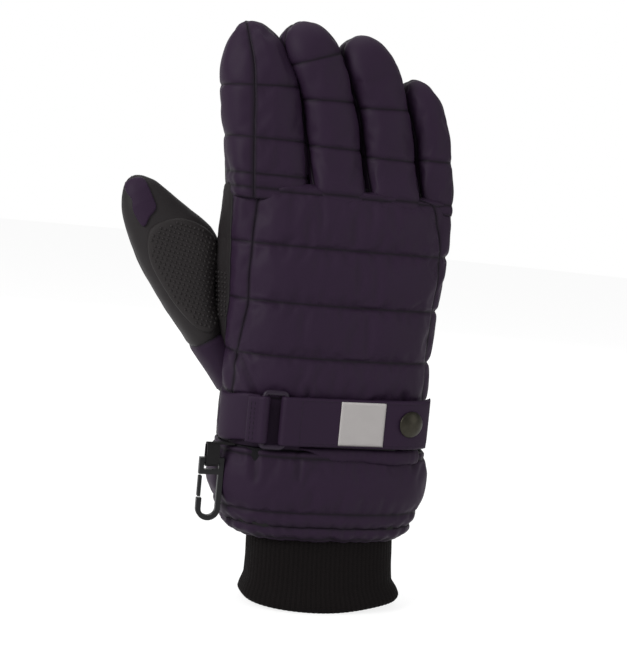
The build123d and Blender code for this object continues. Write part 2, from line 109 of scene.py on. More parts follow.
CUFF_SEAMS = (38.0, 44.2, 51.5, 78.5, WRIST_SEAM_Z)
CUFF_FORM = (
    (36.8, 1.5, 82.0, 44.0), (38.0, 1.5, 90.0, 49.0), (41.0, 1.2, 95.0, 52.0), (44.2, 1.0, 97.5, 53.0),
    (51.5, 0.4, 104.0, 55.0), (60.0, 0.0, 108.0, 56.0), (68.0, 0.0, 109.0, 56.0), (78.5, 0.0, 107.5, 54.5),
    (82.0, 0.0, 105.0, 52.5),
)
KNIT_FORM = ((0.0, 0.2, 81.5, 50.4), (2.5, 0.0, 83.4, 51.4), (5.5, -0.3, 81.6, 50.4), (11.0, -1.0, 77.0, 47.4),
             (22.0, -1.5, 75.8, 45.0), (50.0, -3.0, 75.0, 44.6))
KNIT_POWER = 2.6
HEM_PLEAT = 6.2
# the knit's rim: how far its sides lift, how much more on the little-finger side, and a local lift
RIM_LIFT, RIM_SLANT, RIM_DIP = 3.4, 0.9, 1.4
# how firmly leather is held while the padding swells, and how far cloth sinks under the strap
LEATHER_PIN = 0.75
STRAP_SINK = 1.6
# lamps: name, place, size and power
LAMPS = (("key", (-1.3, -0.6, 0.8), 0.7, 12.5), ("fill", (0.9, -0.9, 0.55), 1.0, 3.2),
         ("top", (-0.1, 0.25, 1.3), 0.9, 3.0), ("rear", (0.1, 1.2, 0.6), 1.0, 3.0))

GROUPS = {}
MADE = {}
PALM, THUMB_SIDE, BACK, LITTLE_SIDE = range(4)
# folds beside the buckle: places along the fold, its width and its depth
HAND_FOLDS = (
    (((-55.5, 125.0), (-52.2, 117.0), (-47.6, 107.5)), 1.3, 1.5),
    (((-23.6, 113.5), (-22.8, 107.5)), 1.2, 1.3),
    (((26.0, 112.0), (27.0, 107.5)), 1.6, 0.8),
)
CUFF_FOLDS = (
    (((-25.6, 84.0), (-24.6, 76.0), (-24.9, 69.0)), 1.3, 1.5),
    (((-46.9, 86.0), (-45.8, 78.0), (-45.2, 68.0)), 1.6, 1.3),
    (((38.0, 84.0), (36.0, 76.0)), 1.8, 0.7),
)
# how far a patch and its dots stand off the leather under them
PATCH_EDGE_RISE, PATCH_RISE, DOT_RISE = 0.25, 0.75, 1.0
# a dot's radius as a share of the distance between dots
DOT_SHARE = 0.34
# the palm's grip patch: X and height
PALM_PATCH = ((30.0, 184.0), (33.0, 168.0), (33.5, 148.0), (29.0, 130.0), (18.0, 118.0), (-2.0, 113.5),
              (-20.0, 115.5), (-32.0, 123.0), (-41.0, 136.0), (-45.5, 152.0), (-46.0, 170.0), (-42.0, 184.0),
              (-30.0, 192.0), (-8.0, 194.5), (16.0, 192.5))
# grip dots on the palm's edge: heights, then Y
EDGE_DOTS = ((143.0, 166.0), (-2.5, 12.0))
FINGER_TO_PALM = tan(radians(3.0))
# share of a finger's length, share of its width
FINGER_WIDTHS = ((-0.06, 0.96), (0.0, 0.97), (0.2, 1.0), (0.4, 1.03), (1.0, 1.0))
FLUSH_TO = 0.22
THUMB_GUSSET_TOP = 13.0
# outlines on the thumb's front: beside and along its line
GRIP_OUTLINE = ((4.3, 75.8), (0.3, 73.7), (-3.6, 67.0), (-5.7, 59.0), (-5.6, 49.0), (-5.1, 39.4), (-3.6, 30.0),
                (-1.3, 22.0), (2.0, 17.0), (6.5, 15.8), (11.0, 19.5), (13.0, 26.0), (14.5, 32.0), (18.5, 38.0),
                (22.0, 43.0), (26.0, 50.0), (28.4, 56.0), (26.6, 61.5), (22.8, 67.4), (18.4, 71.8), (13.0, 74.6))
TIP_OUTLINE = ((2.7, 99.3), (0.6, 95.6), (1.9, 91.0), (-0.6, 87.2), (-1.1, 82.0), (-0.5, 76.6), (2.0, 78.6),
               (4.4, 80.6), (9.5, 82.0), (10.2, 87.0), (10.9, 92.0), (11.6, 97.6), (7.5, 99.6))
WRIST_WIDTH, WRIST_DEPTH, WRIST_CORNER = 106.0, 53.0, 23.3
FLAT_HALF = WRIST_WIDTH / 2 - WRIST_CORNER
BAR_LEFT, BAR_RIGHT = -38.0, -27.2
BUCKLE_RISE = 2.0
BAR_OFFSET, TAIL_OFFSET = 2.7, 4.1
BAR_RADIUS, BAR_FACE = 1.1, 1.25
BUCKLE_HALF = 13.2
# folds of cloth round the left and the right bar
TAB_FOLD, TAIL_FOLD = 2.25, 1.95
TAB_HEIGHT, UNDER_HEIGHT, TAIL_HEIGHT = 23.0, 23.6, 24.0
TUNNEL_Z = 80.8
TUNNEL_START = (-26.0, -6.0)
SNAP_RUN = 36.0
# the label: its middle along the strap, its width and its height
LABEL = (10.8, 22.8, 21.6)


# ---------------------------------------------------------------- outlines and forms
def table(stations, height):
    """The stations' sizes at a height, in straight steps from one station to the next."""
    stations = np.array(stations, float)
    return [np.interp(height, stations[:, 0], stations[:, k]) for k in range(1, stations.shape[1])]


def angle_at_y(y, half_depth, power, left):
    share = np.clip(abs(y) / half_depth, 0, 1) ** (power / 2) * np.sign(y)
    return pi - np.arcsin(share) if left else np.arcsin(share)


def angle_at_x(x, half_width, power, back):
    share = np.clip(abs(x) / half_width, 0, 1) ** (power / 2) * np.sign(x)
    return 2 * pi - np.arccos(share) if back else np.arccos(share)


def ring(half_width, half_depth, power, bounds, counts):
    """Points evenly along each stretch of a rounded outline, between the bounding angles."""
    angle = np.linspace(bounds[0], bounds[0] + 2 * pi, 1441)
    c, s = np.cos(angle), np.sin(angle)
    x = half_width * np.sign(c) * np.abs(c) ** (2 / power)
    y = half_depth * np.sign(s) * np.abs(s) ** (2 / power)
    run = np.concatenate([[0], np.cumsum(np.hypot(np.diff(x), np.diff(y)))])
    marks = np.interp(list(bounds) + [bounds[0] + 2 * pi], angle, run)
    stops = [np.linspace(marks[k], marks[k + 1], counts[k], endpoint=False) for k in range(len(counts))]
    stops = np.concatenate(stops)
    return np.stack([np.interp(stops, run, x), np.interp(stops, run, y)], 1)


def rows_between(seams, step):
    """Heights from the first seam to the last, a row on each seam and closer rows beside it."""
    rows = [seams[0]]
    for low, high in zip(seams, seams[1:]):
        count = max(2, round((high - low) / step))
        share = np.arange(1, count + 1) / count
        share = share - 0.5 * np.sin(2 * pi * share) / (2 * pi)
        rows.extend(low + (high - low) * share)
    return np.array(rows)


def grid_normals(points):
    around = np.roll(points, -1, 1) - np.roll(points, 1, 1)
    along = np.gradient(points, axis=0)
    normal = np.cross(around, along)
    length = np.linalg.norm(normal, axis=2, keepdims=True)
    return normal / np.maximum(length, 1e-9)


def puffed(height, seams, hold=0.6):
    """0 on the seams and 1 half-way between them, steep beside each seam."""
    seams = np.array(seams, float)
    k = np.clip(np.searchsorted(seams, height, side="right") - 1, 0, len(seams) - 2)
    share = np.clip((height - seams[k]) / (seams[k + 1] - seams[k]), 0, 1)
    return np.maximum(np.sin(pi * share), 0) ** hold


def smooth(value, low, high):
    t = np.clip((value - low) / (high - low), 0, 1)
    return t * t * (3 - 2 * t)


def wave(points, size, seed):
    """A smooth random value from -1 to 1 at each point, changing over the given size."""
    flat = points.reshape(-1, 3)
    values = [noise.noise(Vector(p / size) + Vector((seed * 17.1, seed * 5.3, seed * 9.7))) for p in flat]
    return np.array(values).reshape(points.shape[:-1])


# ---------------------------------------------------------------- meshes
def wrapped(points, region, pin, seam_shade, closed_tip=False):
    """A tube over rows of points. Faces keep their region, points their pin and their painted seam shade."""
    rows, columns = points.shape[:2]
    bm = bmesh.new()
    bmesh.ops.create_grid(bm, x_segments=columns, y_segments=rows - 1, size=1.0)
    pins = bm.verts.layers.float.new("pin")
    seams = bm.verts.layers.float.new("seam_shade")
    regions = bm.faces.layers.int.new("region")
    uv = bm.loops.layers.uv.new("cloth")
    around = np.linalg.norm(np.roll(points, -1, 1) - points, axis=2)
    across = np.concatenate([np.zeros((rows, 1)), np.cumsum(around, 1)], 1)
    along = np.concatenate([[0], np.cumsum(np.linalg.norm(np.diff(points, axis=0), axis=2).mean(1))])
    place = {}
    for v in bm.verts:
        i = round((v.co.x + 1) / 2 * columns)
        j = round((v.co.y + 1) / 2 * (rows - 1))
        place[v.index] = (i, j)
        v.co = Vector(points[j, i % columns]) * MM
        v[pins] = pin[j, i % columns]
        v[seams] = seam_shade[j, i % columns]
    middle = rows // 2
    for face in bm.faces:
        corners = [place[v.index] for v in face.verts]
        face[regions] = int(region[min(c[1] for c in corners), min(c[0] for c in corners) % columns])
        for loop in face.loops:
            i, j = place[loop.vert.index]
            loop[uv].uv = (across[middle, i] * MM, along[j] * MM)
    bmesh.ops.remove_doubles(bm, verts=bm.verts, dist=1e-7)
    if closed_tip:
        bmesh.ops.recalc_face_normals(bm, faces=bm.faces)
    return bm


def object_of(bm, name):
    mesh = bpy.data.meshes.new(name)
    bm.to_mesh(mesh)
    bm.free()
    obj = bpy.data.objects.new(name, mesh)
    bpy.context.scene.collection.objects.link(obj)
    return obj


def inflated(obj, pressure, growth, cap, bending=0.4, frames=16):
    """The mesh after its unpinned cloth has been blown up and has wrinkled between its seams."""
    mesh = obj.data
    start = np.empty(len(mesh.vertices) * 3, np.float32)
    mesh.vertices.foreach_get("co", start)
    held = obj.vertex_groups.new(name="held")
    pins = np.empty(len(mesh.vertices), np.float32)
    mesh.attributes["pin"].data.foreach_get("value", pins)
    for value in (0.35, 0.7, 1.0):
        chosen = [int(i) for i in np.nonzero(pins >= value)[0]]
        if chosen:
            held.add(chosen, value, "REPLACE")
    cloth = obj.modifiers.new("Cloth", "CLOTH")
    settings = cloth.settings
    settings.quality = 6
    settings.mass = 0.3
    settings.air_damping = 2.0
    settings.tension_stiffness = 12.0
    settings.compression_stiffness = 6.0
    settings.shear_stiffness = 4.0
    settings.bending_stiffness = bending
    settings.vertex_group_mass = "held"
    settings.pin_stiffness = 1.0
    settings.use_pressure = True
    settings.uniform_pressure_force = pressure
    settings.shrink_min = -growth
    settings.effector_weights.gravity = 0.0
    cloth.collision_settings.use_collision = False
    cloth.collision_settings.use_self_collision = False
    cloth.point_cache.frame_start = 1
    cloth.point_cache.frame_end = frames
    scene = bpy.context.scene
    for step in range(1, frames + 1):
        scene.frame_set(step)
    graph = bpy.context.evaluated_depsgraph_get()
    done = bpy.data.meshes.new_from_object(obj.evaluated_get(graph))
    obj.modifiers.remove(cloth)
    scene.frame_set(1)
    end = np.empty_like(start)
    done.vertices.foreach_get("co", end)
    moved = (end - start).reshape(-1, 3)
    length = np.linalg.norm(moved, axis=1, keepdims=True)
    moved *= np.minimum(1.0, cap * MM / np.maximum(length, 1e-9))
    moved = np.where(np.isfinite(moved), moved, 0.0)
    mesh.vertices.foreach_set("co", (start.reshape(-1, 3) + moved).astype(np.float32).ravel())
    bpy.data.meshes.remove(done)
    obj.vertex_groups.clear()
    mesh.update()


def subdivided(obj, levels=1):
    subsurf = obj.modifiers.new("Subdivision", "SUBSURF")
    subsurf.levels = subsurf.render_levels = levels
    graph = bpy.context.evaluated_depsgraph_get()
    done = bpy.data.meshes.new_from_object(obj.evaluated_get(graph))
    obj.modifiers.remove(subsurf)
    old = obj.data
    obj.data = done
    bpy.data.meshes.remove(old)


def panels_of(obj, names):
    """Cuts the tube along its regions into the sewn panels, one object for each region."""
    made = {}
    for number, name in names.items():
        bm = bmesh.new()
        bm.from_mesh(obj.data)
        regions = bm.faces.layers.int["region"]
        extra = [face for face in bm.faces if face[regions] != number]
        bmesh.ops.delete(bm, geom=extra, context="FACES")
        made[number] = object_of(bm, name)
    mesh = obj.data
    bpy.data.objects.remove(obj)
    bpy.data.meshes.remove(mesh)
    return made


def walled(obj, thickness, offset=-1.0):
    """Gives a panel its cloth thickness, inwards."""
    solid = obj.modifiers.new("Solidify", "SOLIDIFY")
    solid.thickness = thickness * MM
    solid.offset = offset
    solid.use_even_offset = False
    return obj


def shade(obj, material):
    obj.data.materials.clear()
    obj.data.materials.append(material)
    for polygon in obj.data.polygons:
        polygon.use_smooth = True
    return obj


def finish_piece(obj, material, body, replaced=()):
    shade(obj, material)
    if replaced:
        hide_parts(*replaced)
    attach(obj, body)
    return obj


# ---------------------------------------------------------------- shader groups and finishes
def new_group(name, inputs, outputs):
    group = bpy.data.node_groups.new(name, "ShaderNodeTree")
    for label, kind, value in inputs:
        socket = group.interface.new_socket(name=label, in_out="INPUT", socket_type=kind)
        socket.default_value = value
    for label, kind in outputs:
        group.interface.new_socket(name=label, in_out="OUTPUT", socket_type=kind)
    return group, group.nodes.new("NodeGroupInput"), group.nodes.new("NodeGroupOutput")


def math_node(nodes, links, operation, first, second=None, clamp=False):
    node = nodes.new("ShaderNodeMath")
    node.operation = operation
    node.use_clamp = clamp
    for socket, value in zip(node.inputs, (first, second)):
        if value is None:
            continue
        if isinstance(value, (int, float)):
            socket.default_value = value
        else:
            links.new(value, socket)
    return node.outputs[0]


def weave_group():
    """A plain weave on the cloth's own UV: height of the threads and a soft change of shade."""
    group, start, end = new_group(
        "weave",
        [("Thread", "NodeSocketFloat", 0.0004), ("Mottle", "NodeSocketFloat", 0.02)],
        [("Height", "NodeSocketFloat"), ("Shade", "NodeSocketFloat")])
    nodes, links = group.nodes, group.links
    uv = nodes.new("ShaderNodeUVMap")
    uv.uv_map = "cloth"
    split = nodes.new("ShaderNodeSeparateXYZ")
    links.new(uv.outputs[0], split.inputs[0])
    waves = []
    for axis in (0, 1):
        turns = math_node(nodes, links, "DIVIDE", split.outputs[axis], start.outputs["Thread"])
        turns = math_node(nodes, links, "MULTIPLY", turns, pi)
        waves.append(math_node(nodes, links, "ABSOLUTE", math_node(nodes, links, "SINE", turns)))
    links.new(math_node(nodes, links, "MAXIMUM", waves[0], waves[1]), end.inputs["Height"])
    place = nodes.new("ShaderNodeTexCoord")
    soft = nodes.new("ShaderNodeTexNoise")
    soft.inputs["Detail"].default_value = 4.0
    links.new(place.outputs["Object"], soft.inputs["Vector"])
    links.new(math_node(nodes, links, "DIVIDE", 1.0, start.outputs["Mottle"]), soft.inputs["Scale"])
    links.new(soft.outputs["Fac"], end.inputs["Shade"])
    return group


def grain_group():
    """Leather grain: small cells over a softer swell, with a second soft change of shade."""
    group, start, end = new_group(
        "grain",
        [("Cell", "NodeSocketFloat", 0.0012), ("Swell", "NodeSocketFloat", 0.012)],
        [("Height", "NodeSocketFloat"), ("Shade", "NodeSocketFloat")])
    nodes, links = group.nodes, group.links
    place = nodes.new("ShaderNodeTexCoord")
    cells = nodes.new("ShaderNodeTexVoronoi")
    cells.feature = "DISTANCE_TO_EDGE"
    links.new(place.outputs["Object"], cells.inputs["Vector"])
    links.new(math_node(nodes, links, "DIVIDE", 1.0, start.outputs["Cell"]), cells.inputs["Scale"])
    swell = nodes.new("ShaderNodeTexNoise")
    links.new(place.outputs["Object"], swell.inputs["Vector"])
    links.new(math_node(nodes, links, "DIVIDE", 1.0, start.outputs["Swell"]), swell.inputs["Scale"])
    raised = math_node(nodes, links, "MINIMUM", cells.outputs["Distance"], 0.25)
    links.new(math_node(nodes, links, "ADD", raised, swell.outputs["Fac"]), end.inputs["Height"])
    links.new(swell.outputs["Fac"], end.inputs["Shade"])
    return group


def painted_crease_shade_group():
    """Painted shade for seams, folds and rib grooves: how deep in a seam a point lies, from the cloth's seam
    attribute, as a colour multiplier.
    """
    group, start, end = new_group("crease_shade", [("Amount", "NodeSocketFloat", 1.0)],
                                  [("Shade", "NodeSocketFloat")])
    nodes, links = group.nodes, group.links
    seam_shade = nodes.new("ShaderNodeAttribute")
    seam_shade.attribute_name = "seam_shade"
    dark = math_node(nodes, links, "MULTIPLY", seam_shade.outputs["Fac"], start.outputs["Amount"])
    links.new(math_node(nodes, links, "SUBTRACT", 1.0, dark, clamp=True), end.inputs["Shade"])
    return group


def shared(name):
    makers = {"weave": weave_group, "grain": grain_group, "crease_shade": painted_crease_shade_group}
    if name not in GROUPS:
        GROUPS[name] = makers[name]()
    return GROUPS[name]


def finish(name, colour, group, group_values, spread=0.12, roughness=(0.5, 0.65), bump=0.4,
           bump_size=0.0002, sheen=0.0, metallic=0.0, coat=0.0, crease_shade=0.0, specular=0.25):
    """A Principled finish whose shade, roughness and relief come from one of the shared groups."""
    material = bpy.data.materials.new(name)
    material.use_nodes = True
    nodes, links = material.node_tree.nodes, material.node_tree.links
    shader = nodes["Principled BSDF"]
    detail = nodes.new("ShaderNodeGroup")
    detail.node_tree = shared(group)
    for label, value in group_values.items():
        detail.inputs[label].default_value = value
    low = [c * (1 - spread) for c in colour]
    high = [min(1.0, c * (1 + spread)) for c in colour]
    mix = nodes.new("ShaderNodeMix")
    mix.data_type = "RGBA"
    mix.inputs["A"].default_value = (*low, 1.0)
    mix.inputs["B"].default_value = (*high, 1.0)
    links.new(detail.outputs["Shade"], mix.inputs["Factor"])
    colour_out = mix.outputs["Result"]
    # painted shade: the colour is multiplied darker where the seam attribute is high, in seams, folds and rib grooves
    if crease_shade:
        dark = nodes.new("ShaderNodeGroup")
        dark.node_tree = shared("crease_shade")
        dark.inputs["Amount"].default_value = crease_shade
        darken = nodes.new("ShaderNodeMix")
        darken.data_type = "RGBA"
        darken.blend_type = "MULTIPLY"
        darken.inputs["Factor"].default_value = 1.0
        links.new(colour_out, darken.inputs["A"])
        links.new(dark.outputs["Shade"], darken.inputs["B"])
        colour_out = darken.outputs["Result"]
    links.new(colour_out, shader.inputs["Base Color"])
    rough = nodes.new("ShaderNodeMapRange")
    rough.inputs["To Min"].default_value = roughness[0]
    rough.inputs["To Max"].default_value = roughness[1]
    links.new(detail.outputs["Shade"], rough.inputs["Value"])
    links.new(rough.outputs["Result"], shader.inputs["Roughness"])
    relief = nodes.new("ShaderNodeBump")
    relief.inputs["Strength"].default_value = bump
    relief.inputs["Distance"].default_value = bump_size
    links.new(detail.outputs["Height"], relief.inputs["Height"])
    links.new(relief.outputs["Normal"], shader.inputs["Normal"])
    shader.inputs["Metallic"].default_value = metallic
    shader.inputs["Sheen Weight"].default_value = sheen
    shader.inputs["Sheen Roughness"].default_value = 0.5
    shader.inputs["Coat Weight"].default_value = coat
    shader.inputs["Specular IOR Level"].default_value = specular
    return material


def material(key):
    colours = bpy.context.scene.glove_colours
    # the crease amounts below darken each colour at seams, folds and rib grooves as painted shade
    recipes = {
        "shell": dict(colour=colours.shell, group="weave", group_values={"Thread": 0.00045, "Mottle": 0.03},
                      roughness=(0.55, 0.66), bump=0.3, bump_size=0.00005, crease_shade=0.75, specular=0.18),
        "leather": dict(colour=colours.leather, group="grain", group_values={"Cell": 0.0011},
                        roughness=(0.5, 0.68), bump=0.5, bump_size=0.00016, crease_shade=0.5),
        "grip": dict(colour=colours.grip, group="grain", group_values={"Cell": 0.0007},
                     roughness=(0.55, 0.7), bump=0.4, bump_size=0.00012),
        "knit": dict(colour=colours.knit, group="weave", group_values={"Thread": 0.0009, "Mottle": 0.012},
                     roughness=(0.8, 0.95), bump=0.8, bump_size=0.0003, crease_shade=0.3, specular=0.1),
        "webbing": dict(colour=colours.webbing, group="weave", group_values={"Thread": 0.0007, "Mottle": 0.01},
                        roughness=(0.6, 0.8), bump=0.7, bump_size=0.00018, specular=0.2),
        "lining": dict(colour=colours.lining, group="grain", group_values={"Cell": 0.0006, "Swell": 0.004},
                       roughness=(0.85, 0.95), bump=0.8, bump_size=0.0003, specular=0.1),
        "label": dict(colour=colours.label, group="weave", group_values={"Thread": 0.0005, "Mottle": 0.006},
                      spread=0.05, roughness=(0.7, 0.85), bump=0.5, bump_size=0.00012),
        "plastic": dict(colour=colours.plastic, group="grain", group_values={"Cell": 0.0005, "Swell": 0.003},
                        spread=0.06, roughness=(0.38, 0.5), bump=0.12, bump_size=0.00004),
        "buckle": dict(colour=colours.buckle, group="grain", group_values={"Cell": 0.0005, "Swell": 0.003},
                       spread=0.06, roughness=(0.36, 0.46), bump=0.12, bump_size=0.00004),
        "snap": dict(colour=colours.snap, group="grain", group_values={"Cell": 0.0008, "Swell": 0.0025},
                     spread=0.35, roughness=(0.3, 0.5), bump=0.15, bump_size=0.00005, metallic=1.0),
        "thread": dict(colour=colours.thread, group="grain", group_values={"Cell": 0.0003, "Swell": 0.002},
                       roughness=(0.6, 0.75), bump=0.3, bump_size=0.00004),
        "wadding": dict(colour=colours.wadding, group="grain", group_values={"Cell": 0.002, "Swell": 0.006},
                        roughness=(0.9, 1.0), bump=0.6, bump_size=0.0004),
    }
    if key not in MADE:
        MADE[key] = finish(key, **{**recipes[key], "colour": tuple(recipes[key]["colour"])})
    return MADE[key]


# ---------------------------------------------------------------- hand, cuff and fingers as sewn tubes


def near(distance, width):
    return np.exp(-(distance / width) ** 2)


def region_columns(counts):
    return np.repeat(np.arange(len(counts)), counts)


def seam_gap(points, columns):
    """Distance of each point, round its own row, to the nearest border between two regions."""
    edges = [k for k in range(len(columns)) if columns[k] != columns[k - 1]]
    gap = np.full(points.shape[:2], 1e9)
    for k in edges:
        gap = np.minimum(gap, np.linalg.norm(points - points[:, k:k + 1], axis=2))
    return gap


def line_distance(points, line):
    """Distance, seen from the back, of points on the back half from a line of (X, Z) places."""
    away = np.full(points.shape[:2], 1e9)
    flat = points[..., [0, 2]]
    for start, end in zip(line, line[1:]):
        start, end = np.array(start), np.array(end)
        along = np.clip(((flat - start) @ (end - start)) / ((end - start) @ (end - start)), 0, 1)
        away = np.minimum(away, np.linalg.norm(flat - start - along[..., None] * (end - start), axis=-1))
    return np.where(points[..., 1] < -6, away, 1e9)


def build_tube(name, points, columns, heights, seams, puff, padded, seam_depth, pucker, flat=None,
               closed_tip=False, growth=0.03, pressure=4.0, cap=3.0, seed=1, folds=()):
    """A tube of sewn panels: puffs where it is padded, sinks at its seams and puckers beside them."""
    sizes = bpy.context.scene.glove_sizes
    normal = grid_normals(points)
    side_gap = seam_gap(points, columns) if len(set(columns)) > 1 else np.full(points.shape[:2], 1e9)
    row_gap = np.abs(heights[:, None] - np.array(seams)[None, :]).min(1)[:, None] * np.ones(points.shape[:2])
    is_padded = np.isin(columns, padded)[None, :] * np.ones(points.shape[:2])
    swell = puffed(heights, seams)[:, None] * np.minimum(1.0, side_gap / 9.0) ** 0.5
    gap = np.where(is_padded > 0, np.minimum(row_gap, side_gap), side_gap)
    rise = puff * swell * (0.35 + 0.65 * is_padded)
    rise -= seam_depth * near(gap, 1.3)
    stretched = points * np.array([1 / 4.6, 1 / 4.6, 1 / 16.0])
    ripple = wave(stretched, 1.0, seed)
    rise += pucker * ripple * np.exp(-gap / 5.0) * (0.3 + 0.7 * is_padded)
    rise += 0.35 * wave(points, 17.0, seed + 1) + 0.15 * wave(points, 7.0, seed + 2)
    pin = np.where(is_padded > 0, 0.0, LEATHER_PIN)
    pin = np.where((row_gap < 0.05) & (is_padded > 0), 1.0, pin)
    pin = np.where(side_gap < 0.05, 1.0, pin)
    pin[:1] = 1.0
    if flat is not None:
        rise = np.where(flat, -STRAP_SINK, rise)
        pin = np.where(flat, 1.0, pin)
    points = points + normal * rise[..., None]
    # painted shade: how far the colour is darkened in and beside each seam
    seam_shade = near(gap, 0.7 + 0.25 * wave(points, 9.0, seed + 4))
    for line, width, depth in folds:
        away = line_distance(points, line)
        sink = depth * near(away, width) - 0.5 * depth * near(away - 2 * width, width)
        points = points - normal * sink[..., None]
        # painted shade along each fold's line as well
        seam_shade = np.maximum(seam_shade, 0.45 * near(away, 0.6 * width))
    region = np.tile(columns, (points.shape[0], 1))
    bm = wrapped(points, region, pin, seam_shade, closed_tip)
    obj = object_of(bm, name)
    inflated(obj, pressure * sizes.fullness, growth * sizes.wrinkling, cap, frames=sizes.settle_frames)
    subdivided(obj)
    return obj


def hand_rows():
    rows = rows_between(BACK_SEAMS + (HAND_TOP_Z,), 1.7)
    counts = (66, 8, 62, 9)
    rings = []
    for z in rows:
        beside, width, depth = table(HAND_FORM, z)
        palm_edge, back_edge = table(THUMB_STRIP, z)
        a, b = width / 2, depth / 2
        bounds = (angle_at_y(LITTLE_STRIP[0], b, HAND_POWER, False), angle_at_y(palm_edge, b, HAND_POWER, True),
                  angle_at_y(back_edge, b, HAND_POWER, True),
                  2 * pi + angle_at_y(LITTLE_STRIP[1], b, HAND_POWER, False))
        outline = ring(a, b, HAND_POWER, bounds, counts)
        dome = BACK_DOME * (1 - (outline[:, 0] / a) ** 2)
        outline[:, 1] += np.where(outline[:, 1] < 0, -dome, dome)
        rings.append(np.column_stack([GLOVE_X + beside + outline[:, 0], outline[:, 1],
                                      np.full(len(outline), z)]))
    top = rings[-1]
    middle = top.mean(0)
    for share, lift in ((0.8, 1.2), (0.5, 1.8), (0.2, 2.0), (0.0, 2.0)):
        rings.append(middle + (top - middle) * share + np.array([0, 0, lift]))
    rows = np.concatenate([rows, rows[-1] + np.array([1.2, 1.8, 2.0, 2.1])])
    return np.array(rings), region_columns(counts), rows


def sewn_patch(name, outline, place):
    """A thin patch inside an outline, laid on a surface by place(across, along, rise)."""
    outline = np.array(outline, float)
    middle = outline.mean(0)
    edge = closed_line(outline, 96)
    bm = bmesh.new()
    bmesh.ops.create_circle(bm, segments=96, radius=1.0, cap_ends=False)
    ring_verts = sorted(bm.verts, key=lambda v: np.arctan2(v.co.y, v.co.x) % (2 * pi))
    shares = (1.0, 0.97, 0.9, 0.8, 0.68, 0.56, 0.44, 0.32, 0.2, 0.1)
    loops = [ring_verts]
    edges = list(bm.edges)
    for _ in shares[1:]:
        made = bmesh.ops.extrude_edge_only(bm, edges=edges)["geom"]
        edges = [item for item in made if isinstance(item, bmesh.types.BMEdge)
                 and all(v in made for v in item.verts)]
        verts = [item for item in made if isinstance(item, bmesh.types.BMVert)]
        loops.append(sorted(verts, key=lambda v: np.arctan2(v.co.y, v.co.x) % (2 * pi)))
    bmesh.ops.contextual_create(bm, geom=edges)
    for loop, share in zip(loops, shares):
        for k, vert in enumerate(loop):
            spot = middle + (edge[k] - middle) * share
            rise = PATCH_EDGE_RISE if share == 1.0 else PATCH_RISE
            vert.co = Vector(place(spot[0], spot[1], rise)) * MM
    bmesh.ops.recalc_face_normals(bm, faces=bm.faces)
    return walled(object_of(bm, name), 0.7, 0.0)


def dot_field(name, outline, place, pitch):
    """Raised rubber dots in slanting rows over a patch."""
    outline = np.array(outline, float)
    middle = outline.mean(0)
    edge = closed_line(outline, 96)
    spots = []
    reach = int(np.abs(outline - middle).max() * 1.5 / pitch)
    for i in range(-reach, reach + 1):
        for j in range(-reach, reach + 1):
            spot = middle + np.array([(i + j) * 0.7071, (j - i) * 0.7071]) * pitch
            if inside(spot, middle, edge, 0.93):
                spots.append(Vector(place(*spot, DOT_RISE)) * MM)
    return dots_at(name, spots, pitch)


def dots_at(name, spots, pitch):
    """One small round dot at each spot."""
    bm = bmesh.new()
    bmesh.ops.create_uvsphere(bm, u_segments=8, v_segments=4, radius=DOT_SHARE * pitch * MM)
    dot = bpy.data.meshes.new("dot")
    bm.to_mesh(dot)
    bm.clear()
    last = Vector()
    for spot in spots:
        dot.transform(Matrix.Translation(spot - last))
        bm.from_mesh(dot)
        last = spot
    bpy.data.meshes.remove(dot)
    return object_of(bm, name)


